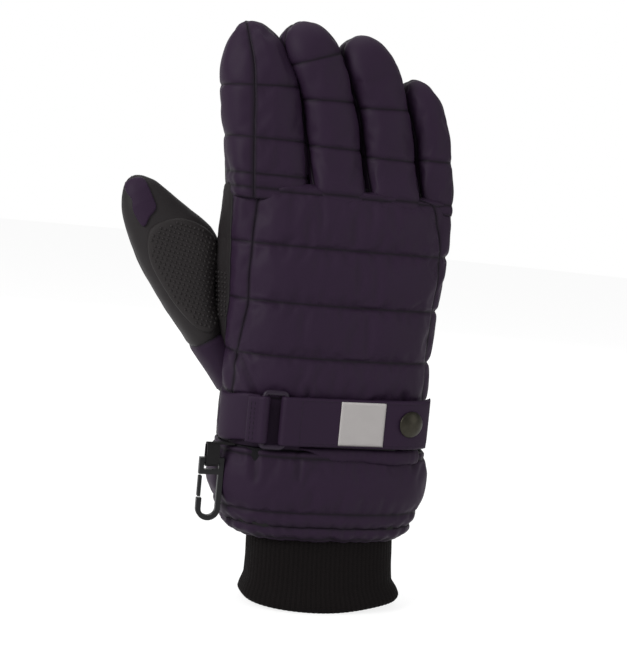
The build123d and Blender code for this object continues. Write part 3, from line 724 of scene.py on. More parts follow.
class GLOVE_OT_hand(bpy.types.Operator):
    """Sews the quilted back, the two side strips and the leather palm into one padded hand"""

    bl_idname = "glove.hand"
    bl_label = "Hand panels"

    def execute(self, context):
        sizes = context.scene.glove_sizes
        points, columns, heights = hand_rows()
        # the thumb's ball fills the palm's edge beside the thumb
        ball = near(points[..., 1] - 7.0, 8.0) * smooth(points[..., 2], 122.0, 146.0)
        ball *= 1 - 0.45 * smooth(points[..., 2], 168.0, 200.0)
        ball *= smooth(-points[..., 0], 40.0, 60.0)
        points[..., 0] -= PALM_EDGE * ball
        flat = (points[..., 2] > STRAP_LOW_Z - 2) & (points[..., 2] < STRAP_HIGH_Z) & (points[..., 1] < -4)
        tube = build_tube("hand_tube", points, columns, heights, BACK_SEAMS + (HAND_TOP_Z + 3,), sizes.puff / MM,
                          (THUMB_SIDE, BACK, LITTLE_SIDE), 0.6, 0.35, flat=flat, closed_tip=True,
                          growth=0.03, pressure=2.0, cap=1.2, seed=3, folds=HAND_FOLDS)
        names = {PALM: "palm_leather", THUMB_SIDE: "thumb_side_strip_cloth", BACK: "quilted_back",
                 LITTLE_SIDE: "little_side_strip_cloth"}
        panels = panels_of(tube, names)
        finishes = {PALM: ("leather", "palm_leather", ("hand_palm",)),
                    THUMB_SIDE: ("shell", "quilted_nylon", ("thumb_side_strip",)),
                    BACK: ("shell", "quilted_nylon", ("hand_back_quilted", "hand_insulation")),
                    LITTLE_SIDE: ("shell", "quilted_nylon", ("little_side_strip",))}
        for number, panel in panels.items():
            key, slot, replaced = finishes[number]
            walled(panel, 0.9)
            finish_piece(panel, material(key), "hand", replaced)
        tree = BVHTree.FromObject(panels[PALM], bpy.context.evaluated_depsgraph_get())
        pitch = sizes.dot_pitch / MM
        self.edge_dots(tree, pitch)

        def on_palm(x, height, rise):
            spot, way, _, _ = tree.ray_cast(Vector((x * MM, 0.2, height * MM)), Vector((0, -1, 0)))
            return np.array(spot) / MM + np.array(way) * rise

        patch = sewn_patch("palm_grip_leather", PALM_PATCH, on_palm)
        finish_piece(patch, material("grip"), "hand", ("palm_grip_patch",))
        finish_piece(dot_field("palm_grip_dots", PALM_PATCH, on_palm, pitch), material("grip"),
                     "hand")
        return {"FINISHED"}

    def edge_dots(self, tree, pitch):
        """Raised grip dots on the leather's edge beside the thumb."""
        spots = []
        for height in np.arange(EDGE_DOTS[0][0], EDGE_DOTS[0][1], pitch):
            for y in np.arange(EDGE_DOTS[1][0], EDGE_DOTS[1][1], pitch):
                spot = tree.ray_cast(Vector((-0.2, y * MM, height * MM)), Vector((1, 0, 0)))[0]
                if spot is not None:
                    spots.append(spot)
        finish_piece(dots_at("palm_edge_dots", spots, pitch), material("grip"), "hand")


def finger_line(name, count=161):
    """Distance up the finger from the knuckle, with the middle line's points and its lean there."""
    shape = FINGERS[name]
    height = np.linspace(FINGER_START, shape["length"], count)
    share = np.clip(height / shape["length"], 0, 1)
    x = shape["base"] - tan(radians(shape["lean"])) * height - shape["sweep"] * share ** SWEEP_POWER
    lean = np.arctan(-np.gradient(x, height))
    return height, x, shape["back"] + FINGER_TO_PALM * height, KNUCKLE_Z + height, lean


def hand_depth(x):
    """Half the hand's depth at its top, beside the rim's middle."""
    beside, width, depth = table(HAND_FORM, KNUCKLE_Z)
    share = np.clip(abs(x - GLOVE_X - beside) / (width / 2), 0, 1)
    return depth / 2 * (1 - share ** HAND_POWER) ** (1 / HAND_POWER) + BACK_DOME * (1 - share ** 2)


def finger_rows(name):
    shape = FINGERS[name]
    run, xs, ys, zs, leans = finger_line(name)
    stops = [float(np.interp(z, zs, run)) for z in shape["seams"]]
    length = shape["length"]
    round_from, round_power = shape["round"]
    tip_from = max(round_from * length, stops[-1] + 2.0)
    rows = rows_between([FINGER_START] + stops + [tip_from], 1.7)
    turn = np.sin(np.linspace(0, pi / 2, 15)[1:])
    rows = np.concatenate([rows, tip_from + (length - tip_from) * turn])
    counts = (16, 11, 18, 11)
    flush = hand_depth(shape["base"])
    rings = []
    for s in rows:
        share = s / length
        wide, = table(FINGER_WIDTHS, share)
        past = np.clip((share - round_from) / (1 - round_from), 0, 1)
        tip = max(0.0, 1 - past ** round_power) ** (1 / round_power)
        base = 1 - smooth(share, 0.0, FLUSH_TO)
        a = shape["width"] * wide * tip / 2
        b = (shape["depth"] / 2 * (1 - base) + flush * base) * tip ** 0.8
        power = FINGER_POWER + (FINGER_BASE_POWER - FINGER_POWER) * (1 - smooth(share, 0.0, 0.4))
        lean = np.interp(s, run, leans)
        tilt = lean * smooth(share, 0.4, 0.95) * 0.85
        middle = np.array([np.interp(s, run, xs), np.interp(s, run, ys), np.interp(s, run, zs)])
        if tip < 1e-3:
            rings.append(np.tile(middle, (sum(counts), 1)))
            continue
        palm_y = min(FINGER_PALM_Y, 0.55 * b)
        spread = 2 * a / shape["width"]
        back_from, = table(shape["back_from"], share)
        bounds = (angle_at_y(palm_y, b, power, False), angle_at_y(palm_y, b, power, True),
                  angle_at_x(back_from * spread, a, power, True),
                  angle_at_x(shape["back_to"] * spread, a, power, True))
        outline = ring(a, b, power, bounds, counts)
        rings.append(middle + outline[:, :1] * np.array([cos(tilt), 0, sin(tilt)])
                     + outline[:, 1:] * np.array([0, 1, 0]))
    return np.array(rings), region_columns(counts), rows, [FINGER_START] + stops + [length * 1.12]


class GLOVE_OT_fingers(bpy.types.Operator):
    """Sews four padded fingers, each from a quilted back, two side walls and a palm face"""

    bl_idname = "glove.fingers"
    bl_label = "Fingers"

    def execute(self, context):
        sizes = context.scene.glove_sizes
        for number, name in enumerate(FINGERS):
            points, columns, heights, seams = finger_rows(name)
            tube = build_tube(f"{name}_tube", points, columns, heights, seams, 0.6 * sizes.puff / MM,
                              (THUMB_SIDE, BACK, LITTLE_SIDE), 0.5, 0.25, closed_tip=True, growth=0.02,
                              pressure=2.0, cap=0.9, seed=11 + 7 * number)
            panels = panels_of(tube, {PALM: f"{name}_palm_leather", THUMB_SIDE: f"{name}_side_inner",
                                      BACK: f"{name}_quilted_back", LITTLE_SIDE: f"{name}_side_outer"})
            node = f"{name}_finger"
            finishes = {PALM: ("leather", "palm_leather", (f"{node}_palm",)),
                        THUMB_SIDE: ("shell", "quilted_nylon", (f"{node}_sides",)),
                        BACK: ("shell", "quilted_nylon", (f"{node}_back", f"{node}_insulation")),
                        LITTLE_SIDE: ("shell", "quilted_nylon", (f"{node}_sides",))}
            for region, panel in panels.items():
                key, slot, replaced = finishes[region]
                shade(walled(panel, 0.8), material(key))
                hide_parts(*replaced)
                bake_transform(panel)
        return {"FINISHED"}


def thumb_axes():
    lean = radians(THUMB_LEAN)
    return np.array([cos(lean), 0, sin(lean)]), np.array([-sin(lean), 0, cos(lean)])


def thumb_point(beside, along, rise=0.0):
    """A point on the front of the thumb, given beside and along its line."""
    outer, inner, depth = table(THUMB_FORM, along)
    a, b = (outer + inner) / 2, depth / 2
    middle = (inner - outer) / 2
    share = np.clip(abs(beside - middle) / max(a, 1e-6), 0, 1)
    y = -b * (1 - share ** THUMB_POWER) ** (1 / THUMB_POWER)
    across, up = thumb_axes()
    return np.array(THUMB_BASE) + across * beside + up * along + np.array([0, y - rise, 0])


def thumb_rows():
    stops = (THUMB_FORM[0][0], THUMB_GUSSET_TOP, 30.0, 76.0)
    rows = rows_between(stops, 1.8)
    turn = np.sin(np.linspace(0, pi / 2, 15)[1:])
    rows = np.concatenate([rows, stops[-1] + (THUMB_FORM[-1][0] - stops[-1]) * turn])
    counts = (40, 42)
    across, up = thumb_axes()
    rings = []
    for s in rows:
        outer, inner, depth = table(THUMB_FORM, s)
        a, b = (outer + inner) / 2, depth / 2
        outline = ring(max(a, 1e-4), max(b, 1e-4), THUMB_POWER, (0.0, pi), counts)
        middle = np.array(THUMB_BASE) + across * (inner - outer) / 2 + up * s
        rings.append(middle + outline[:, :1] * across + outline[:, 1:] * np.array([0, 1, 0]))
    rings[-1][:] = rings[-1].mean(0)
    return np.array(rings), region_columns(counts), rows


class GLOVE_OT_thumb(bpy.types.Operator):
    """Sews the leather thumb, its cloth root, its textured grip patch and its cloth tip patch"""

    bl_idname = "glove.thumb"
    bl_label = "Thumb"

    def execute(self, context):
        sizes = context.scene.glove_sizes
        points, columns, heights = thumb_rows()
        seams = (THUMB_FORM[0][0], THUMB_GUSSET_TOP, 130.0)
        normal = grid_normals(points)
        gap = np.minimum(seam_gap(points, columns), np.abs(heights - THUMB_GUSSET_TOP)[:, None])
        rise = 0.5 * wave(points, 15.0, 31) + 0.25 * wave(points, 6.0, 32) - 0.7 * near(gap, 1.2)
        points = points + normal * rise[..., None]
        region = np.tile(columns, (len(points), 1))
        region[heights < THUMB_GUSSET_TOP - 0.1] = 2
        # painted shade: the colour darkens at the thumb's seams and along the gusset's top
        bm = wrapped(points, region, np.zeros(points.shape[:2]), np.clip(near(gap, 0.8), 0, 1), True)
        tube = object_of(bm, "thumb_tube")
        subdivided(tube)
        panels = panels_of(tube, {0: "thumb_rear_leather", 1: "thumb_front_leather", 2: "thumb_gusset_cloth"})
        across, up = thumb_axes()
        finishes = {0: ("leather", "palm_leather", ("thumb_rear", "thumb_insulation")),
                    1: ("leather", "palm_leather", ("thumb_front",)),
                    2: ("shell", "quilted_nylon", ("thumb_gusset",))}
        for number, panel in panels.items():
            key, slot, replaced = finishes[number]
            shade(walled(panel, 0.9), material(key))
            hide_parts(*replaced)
            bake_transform(panel)
        pieces = ((sewn_patch("thumb_grip_leather", GRIP_OUTLINE, thumb_point), "grip", "grip_leather",
                   ("thumb_grip_patch",)),
                  (sewn_patch("thumb_tip_cloth", TIP_OUTLINE, thumb_point), "shell", "quilted_nylon",
                   ("thumb_tip_patch",)),
                  (dot_field("thumb_grip_dots", GRIP_OUTLINE, thumb_point, sizes.dot_pitch / MM), "grip",
                   "grip_leather", ()))
        for piece, key, slot, replaced in pieces:
            shade(piece, material(key))
            if replaced:
                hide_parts(*replaced)
            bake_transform(piece)
        return {"FINISHED"}


def closed_line(outline, count):
    """Evenly spread points on a smooth closed line through the outline's points."""
    curve = bpy.data.curves.new("outline", "CURVE")
    spline = curve.splines.new("NURBS")
    spline.points.add(len(outline) - 1)
    for point, (x, y) in zip(spline.points, outline):
        point.co = (x, y, 0, 1)
    spline.order_u = 3
    spline.use_cyclic_u = True
    spline.resolution_u = 16
    obj = bpy.data.objects.new("outline", curve)
    mesh = bpy.data.meshes.new_from_object(obj)
    line = np.array([v.co[:2] for v in mesh.vertices])
    bpy.data.objects.remove(obj)
    bpy.data.curves.remove(curve)
    bpy.data.meshes.remove(mesh)
    middle = line.mean(0)
    angle = np.unwrap(np.arctan2(line[:, 1] - middle[1], line[:, 0] - middle[0]))
    order = np.argsort(angle % (2 * pi))
    angle, line = (angle % (2 * pi))[order], line[order]
    wanted = np.arange(count) * 2 * pi / count
    return np.stack([np.interp(wanted, angle, line[:, k], period=2 * pi) for k in (0, 1)], 1)


def inside(spot, middle, edge, share):
    turn = np.arctan2(*(spot - middle)[::-1]) % (2 * pi)
    spoke = edge[int(round(turn / (2 * pi) * len(edge))) % len(edge)] - middle
    return np.linalg.norm(spot - middle) < share * np.linalg.norm(spoke)


def cuff_rows():
    rows = rows_between((CUFF_FORM[0][0],) + CUFF_SEAMS, 1.5)
    counts = (150,)
    rings = []
    for z in rows:
        beside, width, depth = table(CUFF_FORM, z)
        outline = ring(width / 2, depth / 2, HAND_POWER, (0.0,), counts)
        dome = 1.2 * (1 - (outline[:, 0] / (width / 2)) ** 2)
        outline[:, 1] += np.where(outline[:, 1] < 0, -dome, dome)
        rings.append(np.column_stack([GLOVE_X + beside + outline[:, 0], outline[:, 1],
                                      np.full(len(outline), z)]))
    return np.array(rings), region_columns(counts), rows


class GLOVE_OT_gauntlet(bpy.types.Operator):
    """Sews the padded cuff and its gathered hem"""

    bl_idname = "glove.gauntlet"
    bl_label = "Gauntlet cuff"

    def execute(self, context):
        sizes = context.scene.glove_sizes
        points, columns, heights = cuff_rows()
        around = np.concatenate([[0], np.cumsum(np.linalg.norm(np.diff(points[3], axis=0), axis=1))])
        pleat = np.sin(2 * pi * around / HEM_PLEAT + 2.2 * wave(points[3], 21.0, 43))
        pleat = pleat * (0.55 + 0.45 * wave(points[3], 13.0, 44))
        gathered = 1 - smooth(points[..., 2], 41.0, 49.0)
        points += grid_normals(points) * (0.8 * pleat[None, :] * gathered)[..., None]
        scallop = 0.9 * (wave(points[3], 9.0, 45) + 0.5 * pleat)
        points[..., 2] += scallop[None, :] * (1 - smooth(points[..., 2], 37, 42))
        obj = build_tube("cuff_tube", points, columns, heights, (36.0,) + CUFF_SEAMS, 0.7 * sizes.puff / MM, (0,),
                         0.6, 0.6, growth=0.035, pressure=2.0, cap=1.4, seed=41, folds=CUFF_FOLDS)
        mesh = obj.data
        bm = bmesh.new()
        bm.from_mesh(mesh)
        regions = bm.faces.layers.int["region"]
        for face in bm.faces:
            face[regions] = 0 if face.calc_center_median().z > CUFF_SEAMS[1] * MM else 1
        bm.to_mesh(mesh)
        bm.free()
        panels = panels_of(obj, {0: "gauntlet_shell", 1: "gathered_hem_cloth"})
        for number, node in ((0, "gauntlet_cuff"), (1, "gathered_hem")):
            walled(panels[number], 0.9)
            finish_piece(panels[number], material("shell"), "hand", (node,))
        return {"FINISHED"}


def knit_section(z, inset, ribs, per_rib):
    beside, width, depth = table(KNIT_FORM, z)
    count = ribs * per_rib
    outline = ring(width / 2 - inset, depth / 2 - inset, KNIT_POWER, (0.0,), (count,))
    return np.column_stack([beside + outline[:, 0], outline[:, 1], np.full(count, z)])


class GLOVE_OT_knit(bpy.types.Operator):
    """Knits the ribbed inner cuff with its rounded, slightly wavy rim"""

    bl_idname = "glove.knit"
    bl_label = "Rib-knit cuff"

    def execute(self, context):
        sizes = context.scene.glove_sizes
        ribs, per_rib, wall = sizes.rib_count, 6, 2.2
        rings, raised = [], []
        top = 80.0
        for z in np.linspace(top, 1.6, 40):
            rings.append(knit_section(z, wall, ribs, per_rib))
            raised.append(0.35)
        for turn in np.linspace(0, pi, 7)[1:-1]:
            section = knit_section(0.0, wall / 2 + wall / 2 * cos(turn), ribs, per_rib)
            section[:, 2] = 1.2 - 1.2 * sin(turn)
            rings.append(section)
            raised.append(0.5)
        for z in rows_between((1.4, 44.0, top), 1.7):
            rings.append(knit_section(z, 0.0, ribs, per_rib))
            raised.append(1.0)
        points = np.array(rings)
        normal = grid_normals(points)
        column = np.arange(points.shape[1])
        groove = -sizes.rib_depth / MM * (0.5 - 0.5 * np.cos(2 * pi * column / per_rib)) ** 1.5
        points = points + normal * (groove[None, :] * np.array(raised)[:, None])[..., None]
        rim = np.exp(-(points[..., 2] / 14.0) ** 2)
        turn = np.arctan2(points[..., 1] / 26.0, points[..., 0] / 42.0)
        lift = (RIM_LIFT + RIM_SLANT * np.cos(turn)) * np.cos(turn) ** 2 + RIM_DIP * near(turn + 0.95, 0.45)
        points[..., 2] += rim * lift
        points = points + normal * (0.6 * wave(points, 22.0, 51) * (1 - near(points[..., 2], 3.0)))[..., None]
        points[..., 2] = np.maximum(points[..., 2], 0.0)
        # painted shade: the colour darkens in the rib grooves, most where they are deepest
        shade_in = np.tile((0.5 - 0.5 * np.cos(2 * pi * column / per_rib)) ** 2, (len(points), 1))
        bm = wrapped(points, np.zeros(points.shape[:2]), np.zeros(points.shape[:2]), shade_in)
        obj = object_of(bm, "rib_knit_cuff")
        finish_piece(obj, material("knit"), "hand", ("knit_cuff",))
        return {"FINISHED"}


# ---------------------------------------------------------------- wrist strap, buckle, snap and label


def wrist_point(run, offset):
    """A point and the outward direction on the wrist, by its distance round from the back's middle."""
    side = 1.0 if run >= 0 else -1.0
    past = max(abs(run) - FLAT_HALF, 0.0)
    turn = past / (WRIST_CORNER + offset)
    x = side * (min(abs(run), FLAT_HALF) + (WRIST_CORNER + offset) * sin(turn))
    y = -(WRIST_DEPTH / 2 - WRIST_CORNER) - (WRIST_CORNER + offset) * cos(turn)
    return np.array([GLOVE_X + x, y, STRAP_Z]), np.array([side * sin(turn), -cos(turn), 0.0])


def band(name, path, outward, height, thickness, power=6.0, around=44, end_round=1.2):
    """A flat strap of webbing or cloth swept along a path, with rounded edges and closed ends."""
    path, outward = np.array(path, float), np.array(outward, float)
    run = np.concatenate([[0], np.cumsum(np.linalg.norm(np.diff(path, axis=0), axis=1))])
    rings = []
    section = ring(height / 2, thickness / 2, power, (0.0,), (around,))
    for k, here in enumerate(path):
        near_end = min(run[k], run[-1] - run[k])
        share = min(1.0, max(0.0, 1 - (1 - min(near_end / end_round, 1.0)) ** 2) ** 0.5)
        tall = 1 - (1 - share) * 0.06
        rings.append(here + section[:, :1] * tall * np.array([0, 0, 1]) + section[:, 1:] * share * outward[k])
    points = np.array(rings)
    points[0] = path[0] + (points[1] - path[1]) * np.array([0, 0, 1])
    points[-1] = path[-1] + (points[-2] - path[-2]) * np.array([0, 0, 1])
    seam_shade = np.zeros(points.shape[:2])
    bm = wrapped(points, np.zeros(points.shape[:2]), np.zeros(points.shape[:2]), seam_shade)
    bmesh.ops.remove_doubles(bm, verts=bm.verts, dist=1e-6)
    bmesh.ops.recalc_face_normals(bm, faces=bm.faces)
    return object_of(bm, name)


def stitches(name, path, outward, length=2.0, gap=0.9, radius=0.24):
    """A row of stitches: short rounded threads laid along a path."""
    path, outward = np.array(path, float), np.array(outward, float)
    run = np.concatenate([[0], np.cumsum(np.linalg.norm(np.diff(path, axis=0), axis=1))])
    bm = bmesh.new()
    at = gap
    while at + length < run[-1]:
        ends = [np.array([np.interp(at + step, run, path[:, k]) for k in range(3)]) for step in (0, length)]
        face = np.array([np.interp(at + length / 2, run, outward[:, k]) for k in range(3)])
        line = Vector(ends[1] - ends[0]).normalized()
        side = Vector(face).cross(line).normalized()
        turn = Matrix((side, Vector(face).normalized(), line)).transposed().to_4x4()
        middle = Vector((ends[0] + ends[1]) / 2) * MM
        size = Matrix.Diagonal((radius * MM, radius * 0.8 * MM, length / 2 * MM, 1.0))
        bmesh.ops.create_uvsphere(bm, u_segments=6, v_segments=5, radius=1.0,
                                  matrix=Matrix.Translation(middle) @ turn @ size)
        at += length + gap
    return object_of(bm, name)


def bar_point(beside):
    point, _ = wrist_point(beside if abs(beside) < FLAT_HALF else beside * 1.012, 0.0)
    inner = max(abs(beside) - FLAT_HALF, 0.0)
    radius = WRIST_CORNER + BAR_OFFSET
    y = -(WRIST_DEPTH / 2 - WRIST_CORNER) - (radius ** 2 - inner ** 2) ** 0.5
    return np.array([GLOVE_X + beside, y, STRAP_Z + BUCKLE_RISE])


def strap_point(run, offset):
    """A point on the strap's own line, which rises a little towards its snap."""
    point, way = wrist_point(run, offset)
    return point + np.array([0, 0, BUCKLE_RISE + 0.8 * (run - BAR_RIGHT) / 78.0]), way


def half_turn(center, start_angle, end_angle, radius, count=12):
    """Points and outward directions round a bar."""
    points, faces = [], []
    for angle in np.linspace(start_angle, end_angle, count):
        way = np.array([cos(angle), sin(angle), 0.0])
        points.append(center + way * radius)
        faces.append(way)
    return points, faces


class GLOVE_OT_strap(bpy.types.Operator):
    """Makes the wrist strap: tab, under layer, tail with its tape, and their stitching"""

    bl_idname = "glove.strap"
    bl_label = "Wrist strap"

    def execute(self, context):
        shell = material("shell")
        thread = material("thread")
        # anchor tab, from its sewn end round the left bar and back on itself
        path, faces = [], []
        for run in np.linspace(-66.5, -39.5, 30):
            point, way = wrist_point(run, 0.9)
            path.append(point + np.array([0, 0, BUCKLE_RISE * smooth(run, -60.0, -46.0)]))
            faces.append(way)
        left = bar_point(BAR_LEFT)
        turn, ways = half_turn(left, pi / 2 + 0.3, -pi / 2 - 0.5, TAB_FOLD)
        path += turn
        faces += ways
        for run in np.linspace(-40.5, -46.5, 9):
            point, way = strap_point(run, TAIL_OFFSET + 0.1)
            path.append(point)
            faces.append(way)
        tab = band("strap_tab_cloth", path, faces, TAB_HEIGHT, 1.1)
        finish_piece(tab, shell, "hand", ("anchor_tab",))
        # strap under layer on the back
        path, faces = zip(*[strap_point(run, 0.85) for run in np.linspace(-20.5, 56.0, 70)])
        under = band("strap_under_cloth", path, faces, UNDER_HEIGHT, 1.1)
        finish_piece(under, shell, "hand", ("strap_under_layer",))
        # strap tail, folded over the right bar
        right = bar_point(BAR_RIGHT)
        path, faces = half_turn(right, pi / 2, 3 * pi / 2, TAIL_FOLD)
        for run in np.linspace(-25.0, 48.6, 80):
            point, way = strap_point(run, TAIL_OFFSET + 0.55)
            path.append(point)
            faces.append(way)
        tail = band("strap_tail_cloth", path, faces, TAIL_HEIGHT, 1.5, end_round=1.6)
        finish_piece(tail, shell, "strap", ("strap_tail",))
        self.tunnel(shell)
        self.rows(thread)
        for node in ("loop_tape", "hook_tape"):
            shade_node(node, "webbing")
        return {"FINISHED"}

    def tunnel(self, shell):
        """The gathered roll of cloth that shows under the strap."""
        path, faces = zip(*[wrist_point(run, 0.2) for run in np.linspace(-18.6, 46.0, 110)])
        path = [point + np.array([0, 0, TUNNEL_Z - STRAP_Z]) for point in path]
        roll = band("wrist_tunnel_cloth", path, faces, 7.6, 5.0, power=2.3, end_round=2.5)
        bm = bmesh.new()
        bm.from_mesh(roll.data)
        for vert in bm.verts:
            spot = vert.co / MM
            gather = noise.noise(Vector((spot.x / 2.6, spot.y / 5.0, spot.z / 9.0)))
            swell = noise.noise(Vector((spot.x / 15.0, 3.7, spot.z / 15.0)))
            vert.co -= vert.normal * (0.35 * gather + 0.6 * swell + 0.2) * MM
            open_share = smooth(spot.x, *TUNNEL_START)
            top = (TUNNEL_Z + 3.0) * MM
            vert.co.z = top + (vert.co.z - top) * (0.15 + 0.85 * open_share)
            vert.co.y += 1.6 * (1 - open_share) * MM
        bm.to_mesh(roll.data)
        bm.free()
        finish_piece(roll, shell, "hand")

    def rows(self, thread):
        lines = {"tab_stitch_row_1": (-44.9, TAIL_OFFSET + 0.75, "hand", 10.6),
                 "tab_stitch_row_2": (-43.1, TAIL_OFFSET + 0.75, "hand", 10.6),
                 "tail_stitch_row_1": (-20.0, TAIL_OFFSET + 1.3, "strap", 11.0)}
        for name, (run, offset, body, half) in lines.items():
            point, way = strap_point(run, offset)
            path = [point + np.array([0, 0, z]) for z in np.linspace(-half, half, 20)]
            finish_piece(stitches(name, path, [way] * 20, length=1.7, gap=0.7, radius=0.2), thread,
                         body)
        for name, height in (("tail_edge_stitch_top", 10.4), ("tail_edge_stitch_low", -10.4)):
            path, faces = zip(*[strap_point(run, TAIL_OFFSET + 1.27) for run in np.linspace(-19.0, 47.0, 60)])
            path = [point + np.array([0, 0, height]) for point in path]
            finish_piece(stitches(name, path, faces, length=1.7, gap=0.7, radius=0.17), thread,
                         "strap")


def shade_node(node, key):
    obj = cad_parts[node]
    obj.data.materials.clear()
    obj.data.materials.append(material(key))


class GLOVE_OT_buckle(bpy.types.Operator):
    """Moulds the loop buckle, the snap's domed cap and the blank label"""

    bl_idname = "glove.buckle"
    bl_label = "Buckle, snap and label"

    def execute(self, context):
        self.loop()
        self.cap()
        self.label()
        for node, key in (("snap_socket", "snap"), ("snap_stud", "snap")):
            shade_node(node, key)
        return {"FINISHED"}

    def loop(self):
        """A moulded loop: a flattened bar round a rectangle with rounded corners."""
        left, right = bar_point(BAR_LEFT), bar_point(BAR_RIGHT)
        across = right - left
        span = np.linalg.norm(across)
        across = across / span
        outward = np.cross(across, [0, 0, 1.0])
        outward = outward if outward[1] < 0 else -outward
        middle = (left + right) / 2
        outline = ring(span / 2, BUCKLE_HALF, 9.0, (0.0,), (120,))
        rings = []
        for k in range(len(outline)):
            before, after = outline[k - 1], outline[(k + 1) % len(outline)]
            way = (after - before) / np.linalg.norm(after - before)
            side = np.array([way[1], -way[0]])
            center = middle + across * outline[k][0] + np.array([0, 0, 1.0]) * outline[k][1]
            out = across * side[0] + np.array([0, 0, 1.0]) * side[1]
            angle = np.linspace(0, 2 * pi, 14, endpoint=False)
            rings.append(center + BAR_FACE * np.cos(angle)[:, None] * out
                         + BAR_RADIUS * np.sin(angle)[:, None] * outward)
        rings.append(rings[0])
        points = np.array(rings)
        bm = wrapped(points, np.zeros(points.shape[:2]), np.zeros(points.shape[:2]), np.zeros(points.shape[:2]))
        bmesh.ops.recalc_face_normals(bm, faces=bm.faces)
        obj = object_of(bm, "loop_buckle_moulded")
        finish_piece(obj, material("buckle"), "hand", ("loop_buckle",))

    def cap(self):
        """The snap's cap: a turned dome with a rolled edge, on the strap's outer face."""
        middle, outward = strap_point(SNAP_RUN, TAIL_OFFSET + 1.3)
        middle, outward = Vector(middle + np.array([0, 0, 0.8])) * MM, Vector(outward)
        profile = ((0.0, 2.7), (1.5, 2.62), (3.0, 2.35), (4.3, 1.9), (5.3, 1.4), (6.0, 0.95), (6.4, 0.6),
                   (6.5, 0.35), (6.3, 0.1), (5.2, -0.15), (0.0, -0.2))
        bm = bmesh.new()
        line = [bm.verts.new((r * MM, 0, h * MM)) for r, h in profile]
        edges = [bm.edges.new(pair) for pair in zip(line, line[1:])]
        bmesh.ops.spin(bm, geom=line + edges, axis=(0, 0, 1), cent=(0, 0, 0), dvec=(0, 0, 0), angle=2 * pi,
                       steps=56, use_merge=True, use_duplicate=False)
        bmesh.ops.remove_doubles(bm, verts=bm.verts, dist=1e-7)
        bmesh.ops.recalc_face_normals(bm, faces=bm.faces)
        turned = outward.to_track_quat("Z", "Y").to_matrix().to_4x4()
        bmesh.ops.transform(bm, verts=bm.verts, matrix=Matrix.Translation(middle) @ turned)
        obj = object_of(bm, "snap_cap_domed")
        finish_piece(obj, material("snap"), "strap", ("snap_cap",))

    def label(self):
        """A blank woven label with turned edges, sewn down round its border."""
        middle, width, height = LABEL
        path, faces = zip(*[strap_point(run, TAIL_OFFSET + 1.55)
                            for run in np.linspace(middle - width / 2, middle + width / 2, 40)])
        obj = band("blank_woven_label", path, faces, height, 0.55, power=8.0, end_round=0.4)
        finish_piece(obj, material("label"), "strap", ("blank_label",))
        inset = 1.4
        corners = ((-1, -1), (1, -1), (1, 1), (-1, 1), (-1, -1))
        for number, (start, end) in enumerate(zip(corners, corners[1:])):
            path, faces = [], []
            for share in np.linspace(0, 1, 30):
                x = middle + (width / 2 - inset) * (start[0] + (end[0] - start[0]) * share)
                z = (height / 2 - inset) * (start[1] + (end[1] - start[1]) * share)
                point, way = strap_point(x, TAIL_OFFSET + 1.82)
                path.append(point + np.array([0, 0, z]))
                faces.append(way)
            row = stitches(f"label_stitch_{number + 1}", path, faces, length=1.3, gap=0.6, radius=0.13)
            finish_piece(row, material("label"), "strap")


# ---------------------------------------------------------------- hanging clip
class GLOVE_OT_clip(bpy.types.Operator):
    """Finishes the hanging clip: its hook, its gate and the webbing loop that carries it"""

    bl_idname = "glove.clip"
    bl_label = "Hanging clip"

    def execute(self, context):
        for node, body, name in (("snap_hook", "hook", "clip_hook_moulded"),
                                 ("hook_gate", "gate", "clip_gate_moulded")):
            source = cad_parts[node]
            bm = bmesh.new()
            bm.from_mesh(source.data)
            bmesh.ops.remove_doubles(bm, verts=bm.verts, dist=1e-6)
            bmesh.ops.dissolve_limit(bm, angle_limit=radians(4.0), verts=bm.verts, edges=bm.edges)
            sharp = [e for e in bm.edges if e.is_manifold and e.calc_face_angle() > radians(40.0)]
            bmesh.ops.bevel(bm, geom=sharp, offset=0.55 * MM, segments=3, profile=0.5, affect="EDGES",
                            material=-1, clamp_overlap=True)
            bmesh.ops.triangulate(bm, faces=bm.faces)
            bmesh.ops.recalc_face_normals(bm, faces=bm.faces)
            obj = object_of(bm, name)
            finish_piece(obj, material("plastic"), body, (node,))
        shade_node("webbing_loop", "webbing")
        return {"FINISHED"}


class GLOVE_OT_inside(bpy.types.Operator):
    """Finishes the pieces inside the glove: fleece lining, wadding and elastic"""

    bl_idname = "glove.inside"
    bl_label = "Linings"

    def execute(self, context):
        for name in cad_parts:
            if name.endswith("lining"):
                shade_node(name, "lining")
            elif name.endswith("insulation"):
                shade_node(name, "wadding")
            elif name.endswith("elastic"):
                shade_node(name, "webbing")
        return {"FINISHED"}


